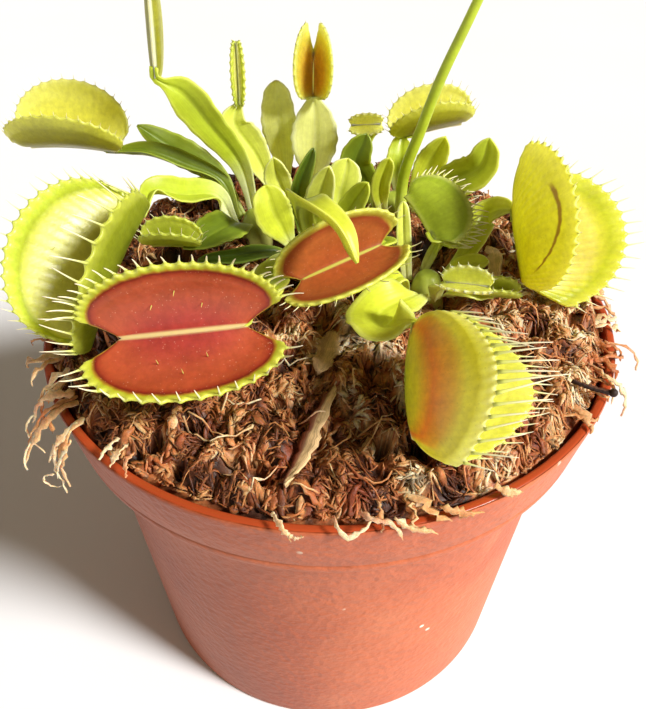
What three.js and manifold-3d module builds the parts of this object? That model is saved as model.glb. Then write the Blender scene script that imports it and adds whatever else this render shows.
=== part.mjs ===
// Potted venus flytrap in a 9 cm nursery pot. Millimetres, +Z up, origin at the
// centre of the pot's base. The front of the plant faces -Y.
import * as THREE from "three";
import { mergeVertices } from "three/addons/utils/BufferGeometryUtils.js";
import Module from "manifold-3d";

const wasm = await Module();
wasm.setup();

// ---------------------------------------------------------------- driving dimensions

const POT = {
  rimRadius: 45,
  height: 70,
  collarHeight: 11.3,
  collarFootRadius: 43,
  shoulderRadius: 39.4,
  baseRadius: 35,
  wall: 1.4,
  floor: 2,
  drainRadius: 3,
  drainRing: 22,
  drainCount: 6,
  bevel: 0.8, // round the foot
  lip: 0.5, // bevel on top of the rim
  step: 0.9, // height of the slope under the collar
  segments: 48,
};

const GAP = 0.35; // clearance between pieces that touch on the plant

const SOIL = { top: 62, segments: 48 };

const MOSS = {
  bottom: SOIL.top + GAP,
  rimLevel: 70.6, // height of the cushion where it meets the pot's lip
  crownRise: 6.4, // how much higher it is in the middle
  rightRise: 1.2, // and how much higher again on the right
  backRise: 2.4, // and at the back
  lump: 1.4, // height of the clumps
  lumpSize: 6, // distance between clumps
  rings: 12,
  segments: 48,
  edge: 0.5, // how far its edge lies below the rim
  strands: 22,
  strandLength: 11,
  strandRadius: 0.7,
  strandRise: 1.2, // how high a strand arches over the cushion
  strandReach: 41, // how far from the middle strands lie
  tuftRadius: 0.95,
  holeSides: 14,
  dish: 1.8, // depth of the dip round each crown
  dishRadius: 6,
  seed: 11,
};

// A strand of moss: flatter than high, and thinner at both ends
const STRAND = { steps: 3, flat: 1.3, taper: 0.55 };

// Where the leaves grow from: a short bulb in a plain round hole in the moss
const CROWN = {
  bulbRadius: 2.8,
  bulbTop: 79,
  holeRadius: 5.4,
  clearTo: 95, // the hole is clear of moss up to here
  baseRing: 3.4, // distance of the leaf stalks' feet from the bulb's middle
  baseLevel: 76.5,
};

const CROWNS = {
  left: [-12.5, 14.5],
  centre: [-2.5, 5],
  right: [15, -4],
  back_right: [11.5, 20.5],
  back: [-6.5, 24],
};

const BLADE = {
  edge: 0.65, // thickness of a leaf blade at its edge
  rib: 1.3, // thickness at the midrib
  foot: 1.5, // width of a leaf stalk where it leaves the bulb
  neck: 1.3, // width of the neck between blade and trap
  steps: 8,
};

const TRAP = {
  lobe: 0.75, // thickness of a lobe
  keel: 0.55, // how far the hinge rib stands out below
  shoulder: 0.3, // height where the toothed outline starts, as a share of depth
  scallop: 0.55, // height of the scallop that carries each tooth
  scallopShrink: 0.62, // how much a scallop narrows to its tooth
  shortTooth: 0.72, // the teeth at both ends, as a share of the middle ones
  endAngle: 0.04, // where a lobe's outline starts and ends, in radians
  socket: 1.6, // how far the stalk runs on under the hinge
};

const COLOURS = {
  terracotta: [0xc9714a, 0.55],
  peat: [0x3a2a20, 0.95],
  moss: [0xa8764a, 0.95],
  bark: [0x5a3a28, 0.9],
  straw: [0xb98f5c, 0.9],
  bulb: [0xd8dcae, 0.6],
  green: [0x9cbf36, 0.45],
  deepGreen: [0x6f8f26, 0.5],
  paleGreen: [0xc9d977, 0.45],
  redTrap: [0xb44a38, 0.4],
  orangeTrap: [0xb8642e, 0.4],
};

// ---------------------------------------------------------------- small helpers

const vec = (p) => new THREE.Vector3(p[0], p[1], p[2]);
const UP = new THREE.Vector3(0, 0, 1);

function materialOf(colourName) {
  const [color, roughness] = COLOURS[colourName];
  return new THREE.MeshStandardMaterial({ color, roughness, metalness: 0 });
}

// Seeded random numbers from 0 to 1
function randomFrom(seed) {
  let state = seed;
  return () => {
    state = (state + 0x6d2b79f5) | 0;
    let t = Math.imul(state ^ (state >>> 15), 1 | state);
    t = (t + Math.imul(t ^ (t >>> 7), 61 | t)) ^ t;
    return ((t ^ (t >>> 14)) >>> 0) / 4294967296;
  };
}

const smooth = (t) => t * t * (3 - 2 * t);
const clamp01 = (t) => Math.min(1, Math.max(0, t));

function signedVolume(points, triangles) {
  let six = 0;
  for (let i = 0; i < triangles.length; i += 3) {
    const [a, b, c] = [points[triangles[i]], points[triangles[i + 1]], points[triangles[i + 2]]];
    six += a.dot(new THREE.Vector3().crossVectors(b, c));
  }
  return six / 6;
}

// A closed solid from shared points and triangles, turned so that its faces look outwards
function solidOf(points, triangles) {
  const faces = [...triangles];
  if (signedVolume(points, faces) < 0) faces.reverse();
  const vertProperties = new Float32Array(points.flatMap((p) => [p.x, p.y, p.z]));
  const triVerts = new Uint32Array(faces);
  return new wasm.Manifold(new wasm.Mesh({ numProp: 3, vertProperties, triVerts }));
}

function solidOfGeometry(geometry) {
  geometry.deleteAttribute("normal");
  geometry.deleteAttribute("uv");
  const merged = mergeVertices(geometry, 1e-4);
  const position = merged.getAttribute("position");
  const points = [];
  for (let i = 0; i < position.count; i += 1) {
    points.push(new THREE.Vector3().fromBufferAttribute(position, i));
  }
  return solidOf(points, merged.index.array);
}

function geometryOf(solid) {
  const { vertProperties, triVerts } = solid.getMesh();
  const geometry = new THREE.BufferGeometry();
  geometry.setAttribute("position", new THREE.BufferAttribute(vertProperties, 3));
  geometry.setIndex(new THREE.BufferAttribute(triVerts, 1));
  return geometry;
}

const plant = new THREE.Group();

function place(name, solid, colourName) {
  const mesh = new THREE.Mesh(geometryOf(solid), materialOf(colourName));
  mesh.name = name;
  plant.add(mesh);
}

// A body of revolution about Z from [radius, height] points
function turned(profile, segments) {
  const points = profile.map(([r, z]) => new THREE.Vector2(r, z));
  const geometry = new THREE.LatheGeometry(points, segments);
  geometry.rotateX(Math.PI / 2);
  return solidOfGeometry(geometry);
}

function cylinder(radius, low, high, x, y, sides) {
  const solid = turned([[0, low], [radius, low], [radius, high], [0, high]], sides);
  return solid.translate([x, y, 0]);
}

// A sheet with thickness, from a grid of upper and lower points. Both faces are split alike.
// toothOf(row, side) may give the tooth that stands on that piece of a long edge.
function slab(upper, lower, toothOf = () => null) {
  const rows = upper.length;
  const columns = upper[0].length;
  const points = [...upper.flat(), ...lower.flat()];
  const top = (i, j) => i * columns + j;
  const bottom = (i, j) => rows * columns + i * columns + j;
  const faces = [];
  const quad = (a, b, c, d) => faces.push(a, b, c, a, c, d);
  for (let i = 0; i < rows - 1; i += 1) {
    for (let j = 0; j < columns - 1; j += 1) {
      quad(top(i, j), top(i, j + 1), top(i + 1, j + 1), top(i + 1, j));
      faces.push(bottom(i, j), bottom(i + 1, j + 1), bottom(i, j + 1));
      faces.push(bottom(i, j), bottom(i + 1, j), bottom(i + 1, j + 1));
    }
  }
  for (let j = 0; j < columns - 1; j += 1) {
    quad(bottom(0, j), bottom(0, j + 1), top(0, j + 1), top(0, j));
    quad(top(rows - 1, j), top(rows - 1, j + 1), bottom(rows - 1, j + 1), bottom(rows - 1, j));
  }
  for (let i = 0; i < rows - 1; i += 1) {
    for (const [j, side] of [[0, -1], [columns - 1, 1]]) {
      let ring = [top(i, j), top(i + 1, j), bottom(i + 1, j), bottom(i, j)];
      if (side > 0) ring.reverse();
      const tooth = toothOf(i, side, ring.map((k) => points[k]));
      if (!tooth) {
        quad(...ring);
        continue;
      }
      if (tooth.collar) {
        const first = points.length;
        points.push(...tooth.collar);
        for (let k = 0; k < 4; k += 1) {
          const n = (k + 1) % 4;
          quad(ring[k], ring[n], first + n, first + k);
        }
        ring = [0, 1, 2, 3].map((k) => first + k);
      }
      points.push(tooth.tip);
      for (let k = 0; k < 4; k += 1) faces.push(ring[k], ring[(k + 1) % 4], points.length - 1);
    }
  }
  return solidOf(points, faces);
}

// ---------------------------------------------------------------- pot, soil and moss

// Inner radius of the pot at a height inside the collar
function lipInside(z) {
  const share = (z - (POT.height - POT.collarHeight)) / POT.collarHeight;
  return THREE.MathUtils.lerp(POT.collarFootRadius, POT.rimRadius, share) - POT.wall;
}

function makePot() {
  const shoulder = POT.height - POT.collarHeight;
  let solid = turned([
    [0, 0],
    [POT.baseRadius - POT.bevel, 0],
    [POT.baseRadius, POT.bevel],
    [POT.shoulderRadius, shoulder - POT.step],
    [POT.collarFootRadius, shoulder],
    [POT.rimRadius, POT.height - POT.lip],
    [POT.rimRadius - POT.lip, POT.height],
    [POT.rimRadius - POT.wall, POT.height],
    [lipInside(shoulder + POT.step), shoulder + POT.step],
    [POT.shoulderRadius - POT.wall, shoulder],
    [POT.baseRadius - POT.wall, POT.floor],
    [0, POT.floor],
  ], POT.segments);
  for (let i = 0; i < POT.drainCount; i += 1) {
    const angle = ((i + 0.5) / POT.drainCount) * 2 * Math.PI;
    const [x, y] = [POT.drainRing * Math.cos(angle), POT.drainRing * Math.sin(angle)];
    solid = solid.subtract(cylinder(POT.drainRadius, -1, POT.floor + 1, x, y, 12));
  }
  place("pot", solid, "terracotta");
}

function makeSoil() {
  const shoulder = POT.height - POT.collarHeight;
  const inside = POT.wall + GAP;
  place("potting_soil", turned([
    [0, POT.floor + GAP],
    [POT.baseRadius - inside, POT.floor + GAP],
    [POT.shoulderRadius - inside, shoulder],
    [POT.shoulderRadius - POT.wall, SOIL.top],
    [0, SOIL.top],
  ], SOIL.segments), "peat");
}

// Smooth bumps that repeat nowhere on the cushion, from -1 to 1
function clumps(x, y) {
  const k = (2 * Math.PI) / MOSS.lumpSize;
  const a = Math.sin(k * (0.9 * x + 0.35 * y) + 2 * Math.sin(0.11 * y));
  const b = Math.sin(k * (0.8 * y - 0.45 * x) + 2 * Math.sin(0.13 * x + 1));
  const c = Math.sin(k * 0.47 * (x + y) + 0.7) * Math.sin(k * 0.41 * (x - y) + 2.1);
  return 0.4 * a + 0.35 * b + 0.5 * c;
}

function mossLevel(x, y) {
  const share = Math.min(1, Math.hypot(x, y) / POT.rimRadius);
  const dome = MOSS.rimLevel + MOSS.crownRise * (1 - share * share);
  const toBack = MOSS.backRise * smooth(clamp01(y / POT.rimRadius));
  const lean = toBack + MOSS.rightRise * smooth(clamp01(x / POT.rimRadius));
  let dip = 0;
  for (const [cx, cy] of Object.values(CROWNS)) {
    const apart = Math.hypot(x - cx, y - cy) / MOSS.dishRadius;
    dip = Math.max(dip, MOSS.dish * Math.exp(-(apart ** 4) / 4));
  }
  return dome + lean - dip + MOSS.lump * clumps(x, y) * (1 - 0.4 * share);
}

function mossCushion() {
  const points = [new THREE.Vector3(0, 0, MOSS.bottom)];
  const radii = [lipInside(MOSS.bottom) - GAP, lipInside(POT.height) - GAP];
  const levels = [MOSS.bottom, POT.height - MOSS.edge];
  const { rings, segments } = MOSS;
  const ringAt = (radius, levelOf) => {
    for (let k = 0; k < segments; k += 1) {
      const angle = (k / segments) * 2 * Math.PI;
      const [x, y] = [radius * Math.cos(angle), radius * Math.sin(angle)];
      points.push(new THREE.Vector3(x, y, levelOf(x, y)));
    }
  };
  ringAt(radii[0], () => levels[0]);
  ringAt(radii[1], () => levels[1]);
  for (let i = rings; i > 0; i -= 1) ringAt((radii[1] - 0.4) * (i / rings), mossLevel);
  points.push(new THREE.Vector3(0, 0, mossLevel(0, 0)));
  const faces = [];
  const last = points.length - 1;
  for (let k = 0; k < segments; k += 1) {
    const n = (k + 1) % segments;
    faces.push(0, 1 + n, 1 + k);
    for (let i = 0; i < rings + 1; i += 1) {
      const [low, high] = [1 + i * segments, 1 + (i + 1) * segments];
      faces.push(low + k, low + n, high + n, low + k, high + n, high + k);
    }
    const inner = 1 + (rings + 1) * segments;
    faces.push(inner + k, inner + n, last);
  }
  return solidOf(points, faces);
}

// A tapering three-sided strand along points; its section turns as it goes
function strand(route, radius, flat) {
  const curve = new THREE.CatmullRomCurve3(route);
  const { steps } = STRAND;
  const points = [];
  for (let i = 0; i <= steps; i += 1) {
    const t = i / steps;
    const centre = curve.getPoint(t);
    const along = curve.getTangent(t);
    const side = new THREE.Vector3().crossVectors(along, UP).normalize();
    const out = new THREE.Vector3().crossVectors(side, along);
    const r = radius * (1 - STRAND.taper * Math.abs(2 * t - 1));
    for (let k = 0; k < 3; k += 1) {
      const angle = (k / 3) * 2 * Math.PI + t;
      const p = centre.clone().addScaledVector(side, r * flat * Math.cos(angle));
      points.push(p.addScaledVector(out, r * Math.sin(angle)));
    }
  }
  const faces = [0, 2, 1];
  for (let i = 0; i < steps; i += 1) {
    for (let k = 0; k < 3; k += 1) {
      const [a, b] = [i * 3 + k, i * 3 + ((k + 1) % 3)];
      faces.push(a, b, b + 3, a, b + 3, a + 3);
    }
  }
  faces.push(steps * 3, steps * 3 + 1, steps * 3 + 2);
  return solidOf(points, faces);
}

// Strands arch over the cushion in every direction, their ends sunk in it
function mossStrands() {
  const random = randomFrom(MOSS.seed);
  const strands = [];
  for (let i = 0; i < MOSS.strands; i += 1) {
    const reach = MOSS.strandReach * Math.sqrt(random());
    const around = 2 * Math.PI * random();
    const heading = 2 * Math.PI * random();
    const length = MOSS.strandLength * (0.5 + random());
    const bend = 0.5 * length * (random() - 0.5);
    const route = [-0.5, -0.17, 0.17, 0.5].map((s, k) => {
      const off = bend * (1 - 4 * s * s);
      const x = reach * Math.cos(around) + s * length * Math.cos(heading) - off * Math.sin(heading);
      const y = reach * Math.sin(around) + s * length * Math.sin(heading) + off * Math.cos(heading);
      const shrink = Math.min(1, MOSS.strandReach / Math.hypot(x, y));
      const lift = k === 0 || k === 3 ? -1 : MOSS.strandRise;
      return new THREE.Vector3(x * shrink, y * shrink, mossLevel(x * shrink, y * shrink) + lift);
    });
    strands.push(strand(route, MOSS.strandRadius * (0.8 + 0.6 * random()), STRAND.flat));
  }
  return strands;
}

// Tufts that hang over the pot's rim: [direction and spread in degrees, strands, reach, drop]
const TUFTS = [
  [212, 20, 5, 4.5, 8], [232, 12, 2, 2, 3], [264, 8, 2, 1.2, 3], [283, 22, 5, 1.6, 2.6],
  [322, 20, 3, 1.8, 2.4], [346, 22, 4, 2.6, 3], [8, 20, 3, 2.4, 2.4], [160, 30, 3, 1.6, 2.4],
];

function mossTufts() {
  const random = randomFrom(MOSS.seed + 1);
  const strands = [];
  for (const [degrees, spread, count, reach, drop] of TUFTS) {
    for (let i = 0; i < count; i += 1) {
      const start = degrees + spread * ((i + random()) / count - 0.5);
      const sweep = 8 * (random() - 0.5);
      const out = reach * (0.4 + 0.8 * random());
      const fall = drop * (0.3 + 0.9 * random());
      const at = (radius, level, turn) => {
        const angle = THREE.MathUtils.degToRad(start + turn * sweep);
        return new THREE.Vector3(radius * Math.cos(angle), radius * Math.sin(angle), level);
      };
      strands.push(strand([
        at(POT.rimRadius - 6, POT.height + 0.3, -1),
        at(POT.rimRadius - 1.5, POT.height + 1.5, 0),
        at(POT.rimRadius + 0.9 + 0.5 * out, POT.height + 0.9 - 0.3 * fall, 0.5),
        at(POT.rimRadius + 1.2 + out, POT.height + 0.6 - fall, 1),
      ], MOSS.tuftRadius, STRAND.flat));
    }
  }
  return strands;
}

// The space of the pot's lip and wall, with clearance, which the moss keeps free
function lipSpace() {
  const low = MOSS.bottom - 1;
  return turned([
    [lipInside(low) - GAP, low],
    [POT.rimRadius + GAP, low],
    [POT.rimRadius + GAP, POT.height + GAP],
    [lipInside(POT.height) - GAP, POT.height + GAP],
    [lipInside(low) - GAP, low],
  ], POT.segments);
}

// What lies on the moss: dead leaves, a chip of bark and a twig. The route gives x, y and the
// height of the strip's middle over the moss.
const LITTER = [
  {
    name: "dead_leaf_front", colour: "straw", width: 2.4, thickness: 0.8, end: 0.35, tilt: 20,
    route: [[0.6, -25.6, 0.8], [-1.4, -31, 1.1], [-3.6, -36, 0.8], [-5.6, -40.2, 0.7]],
  },
  {
    name: "dead_leaf_centre", colour: "straw", width: 3, thickness: 0.8, end: 0.6, tilt: -12,
    route: [[0.6, -15.4, 0.6], [-0.2, -18.5, 0.9], [-1.6, -23.4, 0.6]],
  },
  {
    name: "dead_leaf_right", colour: "straw", width: 2.2, thickness: 0.8, end: 0.4, tilt: 15,
    route: [[26.4, 8.6, 0.6], [26.4, 3, 1.2], [25.6, -2, 1], [24.6, -6, 0.6]],
  },
  {
    name: "bark_chip_back", colour: "bark", width: 5, thickness: 1.8, end: 0.7, tilt: 10,
    route: [[-18, 34, 0.8], [-23, 32, 1.2], [-27, 29, 0.8]],
  },
  {
    name: "twig_right", colour: "bark", width: 1, thickness: 0.9, end: 0.6, tilt: 0,
    route: [[33.4, -22.2, 0.5], [36.4, -23.2, 0.8], [38.8, -23.9, 1.3]],
  },
];

// The strip itself, or with grow the room that it needs in the moss
function litterStrip({ route, width, thickness, end, tilt }, grow) {
  const curve = new THREE.CatmullRomCurve3(
    route.map(([x, y, lift]) => new THREE.Vector3(x, y, mossLevel(x, y) + lift)),
  );
  const angle = THREE.MathUtils.degToRad(tilt);
  const steps = 5;
  const [upper, lower] = [[], []];
  for (let i = 0; i <= steps; i += 1) {
    const tangent = curve.getTangentAt(i / steps);
    const past = (i === 0 ? -grow : 0) + (i === steps ? grow : 0);
    const centre = curve.getPointAt(i / steps).addScaledVector(tangent, past);
    const normal = UP.clone().projectOnPlane(tangent).normalize().applyAxisAngle(tangent, angle);
    const across = new THREE.Vector3().crossVectors(tangent, normal);
    const half = (width / 2) * (1 - (1 - end) * Math.abs((2 * i) / steps - 1) ** 2) + grow;
    const [over, under] = [[], []];
    for (const share of [-1, 0, 1]) {
      const crease = 0.3 * (1 - Math.abs(share));
      const middle = centre.clone().addScaledVector(across, half * share);
      over.push(middle.clone().addScaledVector(normal, thickness / 2 + grow - crease));
      under.push(middle.clone().addScaledVector(normal, -thickness / 2 - grow - crease));
    }
    upper.push(over);
    lower.push(under);
  }
  return slab(upper, lower);
}

function makeMoss() {
  const tufts = wasm.Manifold.union(mossTufts()).subtract(lipSpace());
  let solid = wasm.Manifold.union([mossCushion(), ...mossStrands(), tufts]);
  for (const [x, y] of Object.values(CROWNS)) {
    solid = solid.subtract(cylinder(CROWN.holeRadius, MOSS.bottom - 1, CROWN.clearTo, x, y, MOSS.holeSides));
  }
  for (const piece of LITTER) {
    solid = solid.subtract(litterStrip(piece, GAP));
    place(piece.name, litterStrip(piece, 0), piece.colour);
  }
  const bodies = solid.decompose();
  bodies.sort((a, b) => b.volume() - a.volume());
  place("moss_layer", bodies[0], "moss");
}

function makeBulbs() {
  for (const [name, [x, y]] of Object.entries(CROWNS)) {
    const profile = [[0, MOSS.bottom]];
    const height = CROWN.bulbTop - MOSS.bottom;
    for (let i = 1; i < 7; i += 1) {
      const angle = (i / 7) * Math.PI;
      const level = MOSS.bottom + height * (0.5 - 0.5 * Math.cos(angle));
      profile.push([CROWN.bulbRadius * Math.sqrt(Math.sin(angle)), level]);
    }
    profile.push([0, CROWN.bulbTop]);
    place(`rhizome_${name}`, turned(profile, 12).translate([x, y, 0]), "bulb");
  }
}

// ---------------------------------------------------------------- traps

// One trap: two lobes on a bent hinge from the neck end to the far end, opening along mouth.
// gape is the angle from the mouth's direction to each lobe, cup how much a lobe curves in.
function makeTrap(trap) {
  const { length, depth, teeth, toothLength, rows = 2, arch = 0.6, cup = 20, curl = 12 } = trap;
  const { shift = [0, 0], scalloped = rows > 2 } = trap;
  const [neck, far] = trap.hinge.map(vec);
  const along = far.clone().sub(neck).normalize();
  const mouth = vec(trap.mouth).projectOnPlane(along).normalize();
  const side = new THREE.Vector3().crossVectors(along, mouth);
  const centre = neck.clone().add(far).multiplyScalar(0.5);
  const halfHinge = neck.distanceTo(far) / 2;
  const bendRadius = (length * length) / (8 * arch);
  const gape = THREE.MathUtils.degToRad(trap.gape);
  const cupAngle = THREE.MathUtils.degToRad(cup);

  // A point of the lobe on side sign, at outline angle theta and share v from hinge to margin
  const surface = (theta, v, sign) => {
    const hingeAt = -halfHinge * Math.cos(theta);
    const outAt = (-length / 2) * Math.cos(theta) + shift[sign > 0 ? 1 : 0];
    const reach = depth * (TRAP.shoulder + (1 - TRAP.shoulder) * Math.sin(theta));
    const p = THREE.MathUtils.lerp(hingeAt, outAt, v);
    const start = gape + cupAngle;
    const here = start - 2 * cupAngle * v;
    const rise = (reach * (Math.sin(start) - Math.sin(here))) / (2 * cupAngle);
    const spread = (reach * (Math.cos(here) - Math.cos(start))) / (2 * cupAngle);
    const angle = p / bendRadius;
    const radial = bendRadius + rise;
    return centre.clone()
      .addScaledVector(along, radial * Math.sin(angle))
      .addScaledVector(mouth, radial * Math.cos(angle) - bendRadius)
      .addScaledVector(side, sign * spread);
  };
  const normalAt = (theta, v, sign) => {
    const e = 0.02;
    const du = surface(theta + e, v, sign).sub(surface(theta - e, v, sign));
    const dv = surface(theta, v + e, sign).sub(surface(theta, v - e, sign));
    return du.cross(dv).normalize().multiplyScalar(sign);
  };

  const upper = [];
  const lower = [];
  for (let i = 0; i <= teeth; i += 1) {
    const theta = THREE.MathUtils.lerp(TRAP.endAngle, Math.PI - TRAP.endAngle, i / teeth);
    const [inside, outside] = [[], []];
    for (let j = -rows; j <= rows; j += 1) {
      const sign = j < 0 ? -1 : 1;
      const v = Math.abs(j) / rows;
      const point = surface(theta, v, sign);
      let normal = normalAt(theta, v, sign);
      const fromMiddle = Math.abs(point.clone().sub(centre).dot(side));
      let inward = Math.min(TRAP.lobe / 2, 0.6 * fromMiddle);
      let outward = TRAP.lobe - inward;
      if (j === 0) {
        inward = TRAP.lobe / 3;
        const other = normalAt(theta, 0, -1);
        const mitre = normal.clone().add(other).normalize();
        const stretch = Math.min(1.7, 1 / mitre.dot(normal));
        normal = mitre;
        outward = (TRAP.lobe / 2) * stretch + TRAP.keel;
      }
      inside.push(point.clone().addScaledVector(normal, inward));
      outside.push(point.clone().addScaledVector(normal, -outward));
    }
    upper.push(inside);
    lower.push(outside);
  }

  const toothOf = (i, sign, base) => {
    const share = (i + 0.5) / teeth;
    const theta = THREE.MathUtils.lerp(TRAP.endAngle, Math.PI - TRAP.endAngle, share);
    const root = base.reduce((sum, p) => sum.add(p), new THREE.Vector3()).multiplyScalar(0.25);
    const out = surface(theta, 1, sign).sub(surface(theta, 0.8, sign)).normalize();
    const inward = normalAt(theta, 1, sign);
    const bend = THREE.MathUtils.degToRad(curl);
    const lean = out.clone().multiplyScalar(Math.cos(bend)).addScaledVector(inward, Math.sin(bend));
    const growth = THREE.MathUtils.lerp(TRAP.shortTooth, 1, Math.sin(theta));
    const long = toothLength[sign > 0 ? 1 : 0] * growth;
    const tip = root.clone().addScaledVector(lean, long + TRAP.scallop);
    if (!scalloped) return { tip };
    const collar = base.map((p) => {
      const shrink = p.clone().lerp(root, TRAP.scallopShrink);
      return shrink.addScaledVector(out, TRAP.scallop);
    });
    return { collar, tip };
  };
  return { solid: slab(upper, lower, toothOf), along, mouth, neck };
}

// ---------------------------------------------------------------- leaves

// Width of a leaf stalk and blade at share t of its way from the bulb to the neck
function widthAt(leaf, t) {
  const { width, widest = 0.6, foot = BLADE.foot, end = leaf.trap ? 0.9 : 1 } = leaf;
  const tip = leaf.trap ? BLADE.neck : (leaf.tipWidth ?? 1.2);
  if (t < widest) return THREE.MathUtils.lerp(foot, width, smooth(t / widest));
  return THREE.MathUtils.lerp(width, tip, clamp01((t - widest) / (end - widest)) ** 2.2);
}

function makeBlade(leaf, route) {
  const { fold = 15, wave = 0, waves = 3, steps = BLADE.steps, columns = 2 } = leaf;
  const curve = new THREE.CatmullRomCurve3(route, false, "centripetal");
  const face = vec(leaf.face ?? [0, -0.3, 1]);
  const foldAngle = THREE.MathUtils.degToRad(fold);
  const upper = [];
  const lower = [];
  for (let i = 0; i <= steps; i += 1) {
    const t = i / steps;
    const centre = curve.getPointAt(t);
    const tangent = curve.getTangentAt(t);
    const normal = face.clone().projectOnPlane(tangent).normalize();
    const across = new THREE.Vector3().crossVectors(tangent, normal);
    const half = widthAt(leaf, t) / 2;
    const [over, under] = [[], []];
    for (let j = -columns / 2; j <= columns / 2; j += 1) {
      const share = j / (columns / 2);
      const ripple = wave * Math.sin(2 * Math.PI * waves * t + (share > 0 ? 1.2 : 0)) * Math.abs(share);
      const shape = Math.min(1, half / 3);
      const middle = centre.clone()
        .addScaledVector(across, half * share * Math.cos(foldAngle))
        .addScaledVector(normal, half * Math.abs(share) * Math.sin(foldAngle) + ripple * shape);
      const thick = j === 0 ? BLADE.rib : BLADE.edge;
      over.push(middle.clone().addScaledVector(normal, BLADE.edge / 2));
      under.push(middle.clone().addScaledVector(normal, BLADE.edge / 2 - thick));
    }
    upper.push(over);
    lower.push(under);
  }
  return slab(upper, lower);
}

function makeLeaf(leaf) {
  const [x, y] = CROWNS[leaf.crown];
  const angle = THREE.MathUtils.degToRad(leaf.side);
  const foot = new THREE.Vector3(
    x + CROWN.baseRing * Math.cos(angle),
    y + CROWN.baseRing * Math.sin(angle),
    CROWN.baseLevel,
  );
  const route = [foot, ...leaf.route.map(vec)];
  if (!leaf.trap) {
    place(leaf.name, makeBlade(leaf, route), leaf.colour);
    return;
  }
  const trap = makeTrap(leaf.trap);
  const under = trap.neck.clone().addScaledVector(trap.mouth, -BLADE.edge / 2);
  route.push(under, under.clone().addScaledVector(trap.along, TRAP.socket));
  place(leaf.name, makeBlade(leaf, route).add(trap.solid), leaf.colour);
}

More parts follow.
